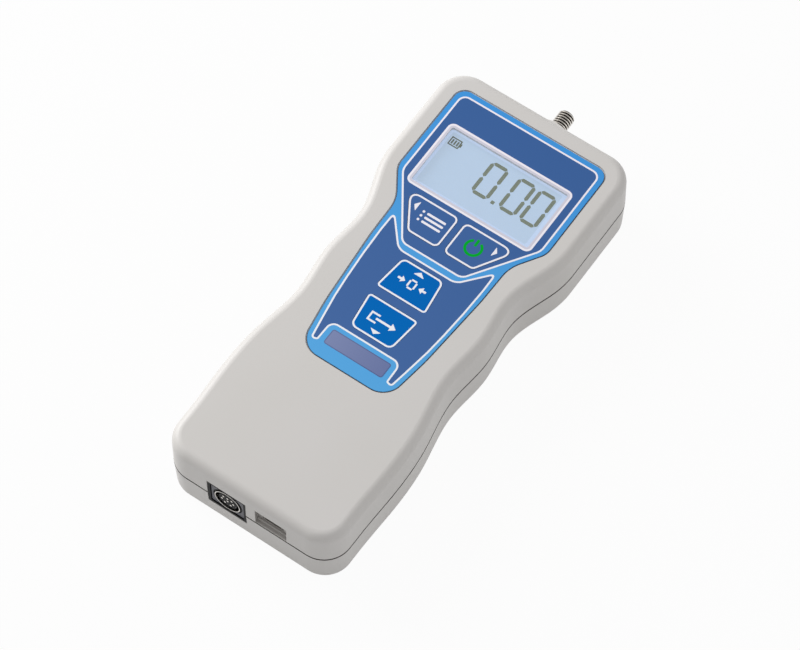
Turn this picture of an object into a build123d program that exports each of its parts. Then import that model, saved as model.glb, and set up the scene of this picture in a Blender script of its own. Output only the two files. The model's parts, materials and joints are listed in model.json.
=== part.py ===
from build123d import *
import math
import os

os.makedirs("parts", exist_ok=True)

# A hand-held digital force gauge. It lies on its back: Z points out of the front face,
# Y points along the measuring shaft, X runs across. The origin is the middle of the
# four stand holes in the back face. All sizes are millimetres.

# Casing
BODY_LENGTH = 168.8
BODY_DEPTH = 27.4
FRONT_COVER_DEPTH = 14.2
WALL = 2.2
HEAD_HALF_WIDTH = 36.4
HEAD_SIDE_DROP = 38.4
SHOULDER_DROP = 52.6
NECK_HALF_WIDTH = 30.3
NECK_DROP = 63.9
SWELL_HALF_WIDTH = 31.6
SWELL_DROP = 80.9
GRIP_HALF_WIDTH = 30.15
GRIP_DROP = 98.4
HANDLE_HALF_WIDTH = 33.7
HANDLE_RISE = 30.4
FOOT_HALF_WIDTH = 33.1
HEAD_CORNER_RADIUS = 10.6
FOOT_CORNER_RADIUS = 9.8
FOOT_STRAIGHT = 1.0
HANDLE_FLARE_SHARE = 0.8
FRONT_DRAFT = 0.25
REAR_DRAFT = 0.4
FRONT_EDGE_RADIUS = 3.2
REAR_EDGE_RADIUS = 1.0
SEAM_HEIGHT = 0.3
SEAM_DEPTH = 0.25
LIP_HEIGHT = 1.4
LIP_WIDTH = 0.9
LIP_CLEARANCE = 0.15

# Front panel film and its recess
PANEL_THICKNESS = 0.5
PANEL_SINK = 0.1
PANEL_CLEARANCE = 0.12
PANEL_MARGIN = 6.8
PANEL_LENGTH = 109.2
PANEL_HEAD_HALF = 29.4
PANEL_SHOULDER_DROP = 37.0
PANEL_WAIST_HALF = 22.2
PANEL_WAIST_DROP = 48.0
PANEL_SIDE_HALF = 21.8
PANEL_SIDE_DROP = 63.1
PANEL_TAPER_HALF = 19.6
PANEL_TAPER_DROP = 91.1
PANEL_FOOT_HALF = 16.9
PANEL_RADII = [4.5, 7.0, 12.0, 60.0, 80.0, 7.5]

# Display
WINDOW_HALF = 24.2
WINDOW_DROP = 13.2
WINDOW_HEIGHT = 26.9
WINDOW_RADIUS = 2.2
WINDOW_CLEARANCE = 0.1
WINDOW_LEDGE = 1.0
GLASS_THICKNESS = 1.8
GLASS_OVERLAP = 1.2
GLASS_CLEARANCE = 0.1
GLASS_KEY_ROOM = 0.6
BACKLIGHT_THICKNESS = 2.0
DISPLAY_FRAME_WALL = 1.0
ZEBRA_WIDTH = 1.6

# Keys, switches and boards
KEY_CLEARANCE = 0.15
KEY_HOLE_CLEARANCE = 0.25
KEY_TRAVEL = 0.35
KEY_FLANGE_REACH = 0.6
KEY_FLANGE_THICKNESS = 0.6
KEY_FLANGE_GAP = 0.3
KEY_POST_RADIUS = 2.4
KEY_SIDE_RADIUS = 2.0
KEY_SHARP_RADIUS = 0.8
SIDE_KEY_OUTER_X = 20.85
SIDE_KEY_CORNER_X = 12.6
SIDE_KEY_INNER_X = 1.2
SIDE_KEY_DROP = 41.9
SIDE_KEY_HEIGHT = 13.1
SIDE_KEY_RADII = [2.6, 2.0, 2.0, 2.0]
ZERO_KEY_DROP = 64.2
ZERO_KEY_HEIGHT = 13.1
SEND_KEY_DROP = 80.8
SEND_KEY_HEIGHT = 13.2
KEY_NARROW_HALF = 7.9
KEY_WIDE_HALF = 9.5
SIDE_SWITCH_X = 9.5
SIDE_SWITCH_DROP = 48.5
ZERO_SWITCH_DROP = 70.6
SEND_SWITCH_DROP = 87.3
SWITCH_WIDTH = 6.0
SWITCH_HEIGHT = 3.4
SWITCH_POCKET_DEPTH = 2.0
STEM_RADIUS = 1.7
STEM_CLEARANCE = 0.1
STEM_HEIGHT = 1.0
BOARD_THICKNESS = 1.6
BOARD_GAP = 6.7
BOARD_HALF_WIDTH = 26.0
BOARD_MARGIN_TOP = 10.4
BOARD_CORNER = 2.0
BOARD_MARGIN = 0.5
BOARD_JOIN_GAP = 0.3
BOARD_SCREW_X = 22.5
BOARD_SCREW_INSET_TOP = 13.9
BOARD_BOSS_RADIUS = 2.8
BOARD_SCREW_RADIUS = 1.2
BOARD_SCREW_HEAD_RADIUS = 2.2
BOARD_SCREW_HEAD = 1.6
MAIN_SCREW_LENGTH = 6.5
MAIN_SCREW_BORE = 6.0
SOCKET_SCREW_LENGTH = 5.0
SCREW_CLEARANCE = 0.2
THREAD_CLEARANCE = 0.03
SOCKET_BOARD_HALF = 18.5
SOCKET_BOARD_LENGTH = 22.0
SOCKET_BOARD_SCREW_X = 15.5
HEADER_LENGTH = 12.0
HEADER_WIDTH = 3.0
BEEPER_RADIUS = 5.0
BEEPER_HEIGHT = 3.6
BEEPER_X = -16.0
BEEPER_Y = -6.0
CHIP_HEIGHT = 1.4
PROCESSOR_SIZE = 10.0
PROCESSOR_PLACE = (8.0, 4.0)
CONVERTER_WIDTH = 7.0
CONVERTER_LENGTH = 5.0
CONVERTER_PLACE = (-4.0, 17.0)
MEMORY_SIZE = 6.0
MEMORY_PLACE = (12.0, -16.0)

# Data socket
DATA_SOCKET_X = -7.4
DATA_SOCKET_WIDTH = 15.0
DATA_SOCKET_HEIGHT = 13.4
DATA_SOCKET_DROP = 6.8
DATA_SOCKET_LENGTH = 13.0
DATA_SOCKET_SINK = 0.6
SOCKET_CLEARANCE = 0.2
SOCKET_BORDER = 0.8
SOCKET_PLATE_THICKNESS = 0.4
SOCKET_SHELL_RADIUS = 4.9
SOCKET_SHELL_WALL = 0.3
SOCKET_SHELL_LENGTH = 8.0
SOCKET_SHELL_PROUD = 0.25
SOCKET_INSERT_RADIUS = 3.4
SOCKET_INSERT_LENGTH = 6.5
SOCKET_PIN_RADIUS = 0.35
SOCKET_PIN_CLEARANCE = 0.1
SOCKET_PIN_PITCH = 1.6
SOCKET_ROW_PITCH = 1.7
SOCKET_WIDE_PIN_PITCH = 2.2
SOCKET_FLANGE = 1.0

# USB socket and its recess
USB_X = 9.4
USB_DROP = 8.2
USB_RECESS_LEFT_X = 3.7
USB_RECESS_RIGHT_X = 15.7
USB_RECESS_DROP = 6.3
USB_RECESS_DEPTH = 1.8
USB_POCKET_WALL = 1.2
USB_WIDTH = 7.7
USB_HEIGHT = 3.9
USB_LENGTH = 9.0
USB_SHELL_WALL = 0.35
USB_CORNER_WIDTH = 0.7
USB_CORNER_HEIGHT = 1.3
USB_TONGUE_INSET = 1.0
USB_TONGUE_WIDTH = 5.2
USB_TONGUE_HEIGHT = 1.0
USB_CLEARANCE = 0.2

# Measuring shaft
SHAFT_Z = 8.7
THREAD_RADIUS = 3.0
THREAD_LENGTH = 7.5
SHAFT_REACH = 13.7
COLLAR_RADIUS = 6.0
COLLAR_CLEARANCE = 0.4
COLLAR_BACK = 3.6
NECK_RADIUS = 4.0
NECK_CLEARANCE = 0.3
THREAD_CHAMFER = 0.5
SHAFT_TRAVEL = 0.2
SHAFT_ROOT_GAP = 1.0
NUT_ACROSS = 10.0
NUT_THICKNESS = 3.6

# Load cell and chassis
CELL_HALF_WIDTH = 17.0
CELL_STAND_GAP = 5.4
CELL_HEAD_GAP = 18.4
CELL_LENGTH = 36.0
CELL_THICKNESS = 8.0
CELL_ARM = 8.0
CELL_SLOT = 2.0
CELL_WEB = 7.0
CELL_EYE_RADIUS = 4.0
CELL_EYE_SPACING = 9.0
CELL_EYE_SLOT = 2.0
CELL_SCREW_X = 10.0
CELL_SCREW_RADIUS = 1.5
CELL_SCREW_HEAD_RADIUS = 2.75
CELL_SCREW_HEAD = 3.0
GAUGE_LENGTH = 5.0
GAUGE_WIDTH = 3.5
GAUGE_THICKNESS = 0.15
CHASSIS_THICKNESS = 2.0
CHASSIS_HALF_WIDTH = 21.0
CHASSIS_GAP = 0.4
STAND_SPACING_X = 30.0
STAND_SPACING_Y = 40.0
STAND_HOLE_RADIUS = 1.65
INSERT_RADIUS = 3.4
INSERT_FLANGE_RADIUS = 4.6
INSERT_FLANGE = 1.2
INSERT_CLEARANCE = 0.1
STAKE_RADIUS = 1.6
STAKE_HEIGHT = 0.8
STAKE_INSET = 5.0
STOP_GAP = 0.1
GUIDE_THICKNESS = 2.0
GUIDE_HALF_WIDTH = 12.0
GUIDE_HEIGHT = 13.0
GUIDE_CLEARANCE = 0.1
RIB_THICKNESS = 1.5
LEAD_RADIUS = 0.8
LEAD_BEND = 2.0
LEAD_STUB = 1.0
BATTERY_LEAD_X = 4.0

# Battery pack
BATTERY_RADIUS = 5.1
BATTERY_LENGTH = 44.0
BATTERY_PITCH = 10.4
BATTERY_TIP_RADIUS = 2.0
BATTERY_TIP_LENGTH = 1.0
TRAY_FLOOR = 0.8
TRAY_WALL = 1.0
TRAY_HEIGHT = 7.0
TRAY_CLEARANCE = 0.2
TRAY_GAP = 0.4
TRAY_STAND_GAP = 1.5

# Casing screws and rear label
CASING_SCREW_TOP_X = 27.0
CASING_SCREW_BOTTOM_X = 24.5
CASING_SCREW_INSET_Y = 9.0
CASING_BOSS_RADIUS = 3.7
CASING_SCREW_RADIUS = 1.5
CASING_SCREW_HEAD_RADIUS = 2.75
CASING_SCREW_HEAD = 2.0
CASING_SCREW_SINK = 4.0
CASING_SCREW_GRIP = 4.8
CASING_BOSS_DEPTH = 10.0
DRIVE_WIDTH = 0.6
DRIVE_DEPTH = 0.8
DRIVE_SHARE = 0.7
LABEL_WIDTH = 40.0
LABEL_HEIGHT = 24.0
LABEL_THICKNESS = 0.2
LABEL_GAP = 12.6
LABEL_RADIUS = 2.0
LABEL_CLEARANCE = 0.1

# Levels and places that follow from the sizes above
CELL_BOTTOM_Y = STAND_SPACING_Y / 2 + INSERT_FLANGE_RADIUS + CELL_STAND_GAP
CELL_TOP_Y = CELL_BOTTOM_Y + CELL_LENGTH
HEAD_Y = CELL_TOP_Y + CELL_HEAD_GAP
FOOT_Y = HEAD_Y - BODY_LENGTH
INNER_HEAD_Y = HEAD_Y - WALL
INNER_FOOT_Y = FOOT_Y + WALL
HEAD_SIDE_Y = HEAD_Y - HEAD_SIDE_DROP
SHOULDER_Y = HEAD_Y - SHOULDER_DROP
NECK_Y = HEAD_Y - NECK_DROP
SWELL_Y = HEAD_Y - SWELL_DROP
GRIP_Y = HEAD_Y - GRIP_DROP
HANDLE_Y = FOOT_Y + HANDLE_RISE
PANEL_TOP_Y = HEAD_Y - PANEL_MARGIN
PANEL_BOTTOM_Y = PANEL_TOP_Y - PANEL_LENGTH
PANEL_SHOULDER_Y = PANEL_TOP_Y - PANEL_SHOULDER_DROP
PANEL_WAIST_Y = PANEL_TOP_Y - PANEL_WAIST_DROP
PANEL_SIDE_Y = PANEL_TOP_Y - PANEL_SIDE_DROP
PANEL_TAPER_Y = PANEL_TOP_Y - PANEL_TAPER_DROP
WINDOW_TOP_Y = PANEL_TOP_Y - WINDOW_DROP
WINDOW_BOTTOM_Y = WINDOW_TOP_Y - WINDOW_HEIGHT
SIDE_KEY_TOP_Y = PANEL_TOP_Y - SIDE_KEY_DROP
ZERO_KEY_TOP_Y = PANEL_TOP_Y - ZERO_KEY_DROP
SEND_KEY_TOP_Y = PANEL_TOP_Y - SEND_KEY_DROP
BOARD_TOP_Y = HEAD_Y - BOARD_MARGIN_TOP
PARTING_Z = BODY_DEPTH - FRONT_COVER_DEPTH
DATA_SOCKET_TOP_Z = BODY_DEPTH - DATA_SOCKET_DROP
USB_TOP_Z = BODY_DEPTH - USB_DROP
USB_RECESS_TOP_Z = BODY_DEPTH - USB_RECESS_DROP
CEILING_Z = BODY_DEPTH - WALL
FLOOR_Z = WALL
RECESS_Z = BODY_DEPTH - PANEL_SINK - PANEL_THICKNESS
PANEL_TOP_Z = BODY_DEPTH - PANEL_SINK
BOARD_TOP_Z = CEILING_Z - BOARD_GAP
BOARD_BOTTOM_Z = BOARD_TOP_Z - BOARD_THICKNESS
SWITCH_TOP_Z = BOARD_TOP_Z + SWITCH_HEIGHT
STEM_TOP_Z = SWITCH_TOP_Z + STEM_HEIGHT
GLASS_BOTTOM_Z = CEILING_Z - GLASS_THICKNESS
BACKLIGHT_BOTTOM_Z = GLASS_BOTTOM_Z - BACKLIGHT_THICKNESS
CHASSIS_TOP_Z = FLOOR_Z + CHASSIS_THICKNESS
CELL_TOP_Z = SHAFT_Z + CELL_THICKNESS / 2
CELL_BOTTOM_Z = SHAFT_Z - CELL_THICKNESS / 2
CELL_SCREW_SEAT_Z = CELL_TOP_Z - CELL_SCREW_HEAD
DATA_SOCKET_MID_Z = DATA_SOCKET_TOP_Z - DATA_SOCKET_HEIGHT / 2
DATA_FACE_Y = FOOT_Y + DATA_SOCKET_SINK
DATA_BACK_Y = DATA_FACE_Y + DATA_SOCKET_LENGTH
DATA_PLATE_BACK_Y = DATA_FACE_Y + SOCKET_PLATE_THICKNESS
SOCKET_BOARD_BOTTOM_Z = USB_TOP_Z
SOCKET_BOARD_TOP_Z = SOCKET_BOARD_BOTTOM_Z + BOARD_THICKNESS
USB_MID_Z = USB_TOP_Z - USB_HEIGHT / 2
USB_FACE_Y = FOOT_Y + USB_RECESS_DEPTH
USB_POCKET_Y = USB_FACE_Y + USB_POCKET_WALL
SOCKET_BOARD_BOTTOM_Y = max(USB_POCKET_Y, INNER_FOOT_Y) + USB_CLEARANCE
SOCKET_BOARD_TOP_Y = SOCKET_BOARD_BOTTOM_Y + SOCKET_BOARD_LENGTH
SOCKET_BOARD_SCREW_Y = SOCKET_BOARD_TOP_Y - BOARD_BOSS_RADIUS
BOARD_BOTTOM_Y = SOCKET_BOARD_TOP_Y + BOARD_JOIN_GAP
BOARD_SCREW_TOP_Y = HEAD_Y - BOARD_SCREW_INSET_TOP
TRAY_LOW_Y = DATA_BACK_Y + TRAY_GAP
BATTERY_FIRST_Y = TRAY_LOW_Y + TRAY_WALL + TRAY_CLEARANCE + BATTERY_RADIUS
TRAY_LIMIT_Y = -STAND_SPACING_Y / 2 - INSERT_FLANGE_RADIUS - TRAY_STAND_GAP
BATTERY_ROOM = TRAY_LIMIT_Y - TRAY_WALL - TRAY_CLEARANCE - BATTERY_RADIUS - BATTERY_FIRST_Y
BATTERY_COUNT = 1 + math.floor(BATTERY_ROOM / BATTERY_PITCH)
BATTERY_LAST_Y = BATTERY_FIRST_Y + (BATTERY_COUNT - 1) * BATTERY_PITCH
TRAY_HIGH_Y = BATTERY_LAST_Y + BATTERY_RADIUS + TRAY_CLEARANCE + TRAY_WALL
CHASSIS_BOTTOM_Y = TRAY_HIGH_Y + CHASSIS_GAP
BOARD_SCREW_BOTTOM_Y = BATTERY_FIRST_Y + BATTERY_PITCH * (BATTERY_COUNT // 2 - 0.5)
LABEL_Y = -STAND_SPACING_Y / 2 - INSERT_RADIUS - LABEL_GAP - LABEL_HEIGHT / 2
BATTERY_MID_Z = FLOOR_Z + TRAY_FLOOR + BATTERY_RADIUS
SHAFT_TIP_Y = HEAD_Y + SHAFT_REACH
THREAD_START_Y = SHAFT_TIP_Y - THREAD_LENGTH
COLLAR_START_Y = HEAD_Y - COLLAR_BACK
GUIDE_Y = COLLAR_START_Y - SHAFT_TRAVEL - STOP_GAP - GUIDE_THICKNESS
SCREW_BORE = THREAD_CLEARANCE + CASING_SCREW_RADIUS
FLOOR_ROOT_Z = WALL / 2
FOOT_ROOT_Y = FOOT_Y + WALL / 2
CASING_SCREW_LENGTH = PARTING_Z - CASING_SCREW_SINK + CASING_SCREW_GRIP
SIDE_SWITCH_Y = PANEL_TOP_Y - SIDE_SWITCH_DROP
ZERO_SWITCH_Y = PANEL_TOP_Y - ZERO_SWITCH_DROP
SEND_SWITCH_Y = PANEL_TOP_Y - SEND_SWITCH_DROP

# How far a cut runs past a face, and how near two places count as one
PAST = 1.0
TOLERANCE = 0.001

SWITCH_CENTRES = {
    "info": (-SIDE_SWITCH_X, SIDE_SWITCH_Y),
    "power": (SIDE_SWITCH_X, SIDE_SWITCH_Y),
    "zero": (0.0, ZERO_SWITCH_Y),
    "send": (0.0, SEND_SWITCH_Y),
}
CASING_SCREW_CENTRES = [
    (side * x, y)
    for side in (-1, 1)
    for x, y in (
        (CASING_SCREW_TOP_X, HEAD_Y - CASING_SCREW_INSET_Y),
        (CASING_SCREW_BOTTOM_X, FOOT_Y + CASING_SCREW_INSET_Y),
    )
]
BOARD_SCREW_CENTRES = [
    (side * BOARD_SCREW_X, y)
    for side in (-1, 1)
    for y in (BOARD_SCREW_TOP_Y, BOARD_SCREW_BOTTOM_Y)
]
SOCKET_SCREW_CENTRES = [(side * SOCKET_BOARD_SCREW_X, SOCKET_BOARD_SCREW_Y) for side in (-1, 1)]
STAND_CENTRES = [
    (sx * STAND_SPACING_X / 2, sy * STAND_SPACING_Y / 2) for sx in (-1, 1) for sy in (-1, 1)
]
STAKE_CENTRES = [(0.0, CHASSIS_BOTTOM_Y + STAKE_INSET), (0.0, CELL_BOTTOM_Y - 2 * STAKE_INSET)]
CELL_SCREW_CENTRES = [(side * CELL_SCREW_X, CELL_BOTTOM_Y + CELL_ARM / 2) for side in (-1, 1)]


# Helpers for plain shapes
def cylinder(radius, bottom, top, centre=(0.0, 0.0)):
    """An upright cylinder between two heights."""
    return Pos(centre[0], centre[1], bottom) * Cylinder(
        radius, top - bottom, align=(Align.CENTER, Align.CENTER, Align.MIN)
    )


def cylinder_y(radius, start, end, x=0.0, z=0.0):
    """A cylinder along Y between two places."""
    body = Cylinder(radius, end - start, align=(Align.CENTER, Align.CENTER, Align.MIN))
    return Pos(x, start, z) * Rot(-90, 0, 0) * body


def block(x_from, x_to, y_from, y_to, z_from, z_to):
    """A box given by its six faces."""
    corner = Pos(x_from, y_from, z_from)
    return corner * Box(
        x_to - x_from,
        y_to - y_from,
        z_to - z_from,
        align=(Align.MIN, Align.MIN, Align.MIN),
    )


def raised(face, bottom, top):
    """A flat outline pulled up between two heights."""
    return extrude(Pos(0, 0, bottom) * face, top - bottom)


def grown(face, amount):
    """A flat outline moved outwards by an amount, or inwards when it is negative."""
    return offset(face, amount, kind=Kind.ARC)


def raised_y(face, start, end):
    """An outline drawn in X and Z pulled along Y between two places."""
    return Pos(0, end, 0) * Rot(90, 0, 0) * extrude(face, end - start)


def polygon(points, radii):
    """A closed outline with a radius at each of its corners."""
    return make_face(FilletPolyline(*points, radius=radii, close=True))


def rounded_rectangle(left, right, bottom, top, radius):
    """A rectangle with equal round corners, placed by its sides."""
    middle = Pos((left + right) / 2, (bottom + top) / 2)
    return middle * RectangleRounded(right - left, top - bottom, radius)


def screw(centre, head_z, head_height, head_radius, shank_radius, length, up):
    """A pan head screw with a cross recess, its shank pointing up or down."""
    sign = 1 if up else -1
    head = cylinder(head_radius, 0, head_height)
    shank = cylinder(shank_radius, head_height, head_height + length)
    slot = Box(2 * head_radius * DRIVE_SHARE, DRIVE_WIDTH, 2 * DRIVE_DEPTH)
    body = head + shank - slot - Rot(0, 0, 90) * slot
    turned = body if up else Rot(180, 0, 0) * body
    return Pos(centre[0], centre[1], head_z - sign * head_height) * turned


# Outlines
def corners_at(face, y):
    """The two outer corners of an outline on one of its straight ends."""
    return [v for v in face.vertices() if abs(v.X) > TOLERANCE and abs(v.Y - y) < TOLERANCE]


def casing_outline(inset):
    """The casing seen from the front, moved inwards by an inset."""
    head_y = HEAD_Y - inset
    foot_y = FOOT_Y + inset
    flare_half = GRIP_HALF_WIDTH + HANDLE_FLARE_SHARE * (HANDLE_HALF_WIDTH - GRIP_HALF_WIDTH)
    side_points = [
        (HEAD_HALF_WIDTH - inset, HEAD_SIDE_Y),
        ((HEAD_HALF_WIDTH + NECK_HALF_WIDTH) / 2 - inset, SHOULDER_Y),
        (NECK_HALF_WIDTH - inset, NECK_Y),
        (SWELL_HALF_WIDTH - inset, SWELL_Y),
        (GRIP_HALF_WIDTH - inset, GRIP_Y),
        (flare_half - inset, (GRIP_Y + HANDLE_Y) / 2),
        (HANDLE_HALF_WIDTH - inset, HANDLE_Y),
        (FOOT_HALF_WIDTH - inset, FOOT_Y + FOOT_CORNER_RADIUS + FOOT_STRAIGHT),
    ]
    side = Spline(*side_points, tangents=[(0, -1), (0, -1)])
    top_corner = (HEAD_HALF_WIDTH - inset, head_y)
    foot_corner = (FOOT_HALF_WIDTH - inset, foot_y)
    right = [
        Line((0, head_y), top_corner),
        Line(top_corner, side @ 0),
        side,
        Line(side @ 1, foot_corner),
        Line(foot_corner, (0, foot_y)),
    ]
    left = [mirror(edge, Plane.YZ) for edge in right]
    face = make_face(right + left)
    face = fillet(corners_at(face, head_y), HEAD_CORNER_RADIUS - inset)
    return fillet(corners_at(face, foot_y), FOOT_CORNER_RADIUS - inset)


def panel_outline():
    """The printed film: a wide head, a waist and a narrower tail."""
    right = [
        (PANEL_HEAD_HALF, PANEL_TOP_Y),
        (PANEL_HEAD_HALF, PANEL_SHOULDER_Y),
        (PANEL_WAIST_HALF, PANEL_WAIST_Y),
        (PANEL_SIDE_HALF, PANEL_SIDE_Y),
        (PANEL_TAPER_HALF, PANEL_TAPER_Y),
        (PANEL_FOOT_HALF, PANEL_BOTTOM_Y),
    ]
    left = [(-x, y) for x, y in reversed(right)]
    return polygon(right + left, PANEL_RADII + PANEL_RADII[::-1])


def window_outline():
    """The clear pane over the display."""
    return rounded_rectangle(
        -WINDOW_HALF, WINDOW_HALF, WINDOW_BOTTOM_Y, WINDOW_TOP_Y, WINDOW_RADIUS
    )


def key_outlines():
    """The four keys as seen from the front."""
    side_bottom = SIDE_KEY_TOP_Y - SIDE_KEY_HEIGHT
    zero_bottom = ZERO_KEY_TOP_Y - ZERO_KEY_HEIGHT
    send_bottom = SEND_KEY_TOP_Y - SEND_KEY_HEIGHT
    power_points = [
        (SIDE_KEY_OUTER_X, SIDE_KEY_TOP_Y),
        (SIDE_KEY_INNER_X, SIDE_KEY_TOP_Y),
        (SIDE_KEY_INNER_X, side_bottom),
        (SIDE_KEY_CORNER_X, side_bottom),
    ]
    info_points = [(-x, y) for x, y in power_points]
    zero_points = [
        (-KEY_NARROW_HALF, ZERO_KEY_TOP_Y),
        (KEY_NARROW_HALF, ZERO_KEY_TOP_Y),
        (KEY_WIDE_HALF, zero_bottom),
        (-KEY_WIDE_HALF, zero_bottom),
    ]
    send_points = [
        (-KEY_WIDE_HALF, SEND_KEY_TOP_Y),
        (KEY_WIDE_HALF, SEND_KEY_TOP_Y),
        (KEY_NARROW_HALF, send_bottom),
        (-KEY_NARROW_HALF, send_bottom),
    ]
    soft = KEY_SIDE_RADIUS
    sharp = KEY_SHARP_RADIUS
    return {
        "info": polygon(info_points, SIDE_KEY_RADII),
        "power": polygon(power_points, SIDE_KEY_RADII),
        "zero": polygon(zero_points, [soft, soft, sharp, sharp]),
        "send": polygon(send_points, [sharp, sharp, soft, soft]),
    }


def display_opening():
    """The opening in the front cover behind the pane."""
    return grown(window_outline(), -WINDOW_LEDGE)


def label_outline():
    """The plate on the back, drawn in the same axes as the front."""
    return Pos(0, LABEL_Y) * RectangleRounded(LABEL_WIDTH, LABEL_HEIGHT, LABEL_RADIUS)


def glass_box(margin):
    """The left, right, bottom and top of the display glass, with a margin round it."""
    half = WINDOW_HALF - WINDOW_LEDGE + GLASS_OVERLAP + margin
    bottom = WINDOW_BOTTOM_Y + WINDOW_LEDGE - GLASS_OVERLAP + GLASS_KEY_ROOM - margin
    top = WINDOW_TOP_Y - WINDOW_LEDGE + GLASS_OVERLAP + margin
    return -half, half, bottom, top


# Casing
def socket_cut():
    """The square opening in the end wall for the data socket, through both covers."""
    half = DATA_SOCKET_WIDTH / 2
    return block(
        DATA_SOCKET_X - half,
        DATA_SOCKET_X + half,
        FOOT_Y - PAST,
        INNER_FOOT_Y + PAST,
        DATA_SOCKET_TOP_Z - DATA_SOCKET_HEIGHT,
        DATA_SOCKET_TOP_Z,
    )


def shaft_cut():
    """The round opening in the other end wall for the collar."""
    return cylinder_y(COLLAR_RADIUS + COLLAR_CLEARANCE, INNER_HEAD_Y - PAST, HEAD_Y + PAST, 0, SHAFT_Z)


def seam_cut():
    """The shallow groove that shows where the two covers meet."""
    ring = casing_outline(-PAST) - casing_outline(SEAM_DEPTH)
    return raised(ring, PARTING_Z - SEAM_HEIGHT / 2, PARTING_Z + SEAM_HEIGHT / 2)


def casing_screw_cut(centre):
    """The counterbore and the clearance hole for one casing screw."""
    bore = cylinder(CASING_SCREW_HEAD_RADIUS + SCREW_CLEARANCE, -PAST, CASING_SCREW_SINK, centre)
    hole = cylinder(CASING_SCREW_RADIUS + SCREW_CLEARANCE, -PAST, PARTING_Z + PAST, centre)
    return bore + hole


def front_cover():
    """The front half shell with its recess, openings and bosses."""
    sections = [
        Pos(0, 0, PARTING_Z) * casing_outline(0),
        Pos(0, 0, BODY_DEPTH) * casing_outline(FRONT_DRAFT),
    ]
    shell = loft(sections, ruled=True)
    front_edges = shell.edges().group_by(Axis.Z)[-1]
    shell = fillet(front_edges, FRONT_EDGE_RADIUS)
    shell -= raised(casing_outline(WALL), PARTING_Z - PAST, CEILING_Z)
    groove = casing_outline(WALL - LIP_WIDTH - LIP_CLEARANCE)
    shell -= raised(groove, PARTING_Z - PAST, PARTING_Z + LIP_HEIGHT + LIP_CLEARANCE)
    shell -= seam_cut()
    shell -= raised(grown(panel_outline(), PANEL_CLEARANCE), RECESS_Z, BODY_DEPTH + PAST)
    shell -= raised(display_opening(), CEILING_Z - PAST, RECESS_Z + PAST)
    for outline in key_outlines().values():
        hole = grown(outline, KEY_HOLE_CLEARANCE)
        shell -= raised(hole, CEILING_Z - PAST, RECESS_Z + PAST)
    for centre in CASING_SCREW_CENTRES:
        shell += cylinder(CASING_BOSS_RADIUS, PARTING_Z, CEILING_Z, centre)
        shell -= cylinder(SCREW_BORE, PARTING_Z - PAST, PARTING_Z + CASING_BOSS_DEPTH, centre)
    bore = BOARD_SCREW_RADIUS + THREAD_CLEARANCE
    for centre in BOARD_SCREW_CENTRES:
        shell += cylinder(BOARD_BOSS_RADIUS, BOARD_TOP_Z, CEILING_Z, centre)
        shell -= cylinder(bore, BOARD_TOP_Z - PAST, BOARD_TOP_Z + MAIN_SCREW_BORE, centre)
    for centre in SOCKET_SCREW_CENTRES:
        shell += cylinder(BOARD_BOSS_RADIUS, SOCKET_BOARD_TOP_Z, CEILING_Z, centre)
        shell -= cylinder(bore, SOCKET_BOARD_TOP_Z - PAST, CEILING_Z, centre)
    shell += usb_pocket()
    shell -= block(
        USB_RECESS_LEFT_X,
        USB_RECESS_RIGHT_X,
        FOOT_Y - PAST,
        USB_FACE_Y,
        PARTING_Z - PAST,
        USB_RECESS_TOP_Z,
    )
    half_width = USB_WIDTH / 2 + USB_CLEARANCE
    half_height = USB_HEIGHT / 2 + USB_CLEARANCE
    shell -= block(
        USB_X - half_width,
        USB_X + half_width,
        USB_FACE_Y - PAST,
        USB_POCKET_Y + PAST,
        USB_MID_Z - half_height,
        USB_MID_Z + half_height,
    )
    shell -= socket_cut()
    shell -= shaft_cut()
    return shell


def usb_pocket():
    """The box behind the end wall that carries the back of the USB recess."""
    return block(
        USB_RECESS_LEFT_X - USB_POCKET_WALL,
        USB_RECESS_RIGHT_X + USB_POCKET_WALL,
        FOOT_ROOT_Y,
        USB_POCKET_Y,
        PARTING_Z + LIP_HEIGHT + LIP_CLEARANCE,
        CEILING_Z,
    )


def rear_cover():
    """The rear half shell with its lip, screw columns and stand holes."""
    sections = [
        casing_outline(REAR_DRAFT),
        Pos(0, 0, PARTING_Z) * casing_outline(0),
    ]
    shell = loft(sections, ruled=True)
    back_edges = shell.edges().group_by(Axis.Z)[0]
    shell = fillet(back_edges, REAR_EDGE_RADIUS)
    shell -= raised(casing_outline(WALL), FLOOR_Z, PARTING_Z + PAST)
    shell -= seam_cut()
    lip = casing_outline(WALL - LIP_WIDTH) - casing_outline(WALL)
    shell += raised(lip, PARTING_Z - PAST, PARTING_Z + LIP_HEIGHT)
    for centre in CASING_SCREW_CENTRES:
        shell += cylinder(CASING_BOSS_RADIUS, FLOOR_ROOT_Z, PARTING_Z, centre)
        shell -= casing_screw_cut(centre)
    for centre in STAND_CENTRES:
        shell -= cylinder(INSERT_RADIUS + INSERT_CLEARANCE, -PAST, FLOOR_Z + PAST, centre)
    for centre in STAKE_CENTRES:
        shell += cylinder(STAKE_RADIUS, FLOOR_ROOT_Z, CHASSIS_TOP_Z + STAKE_HEIGHT, centre)
    shell += guide_channel()
    shell -= raised(grown(label_outline(), LABEL_CLEARANCE), -PAST, LABEL_THICKNESS)
    shell -= socket_cut()
    shell -= shaft_cut()
    return shell


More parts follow.
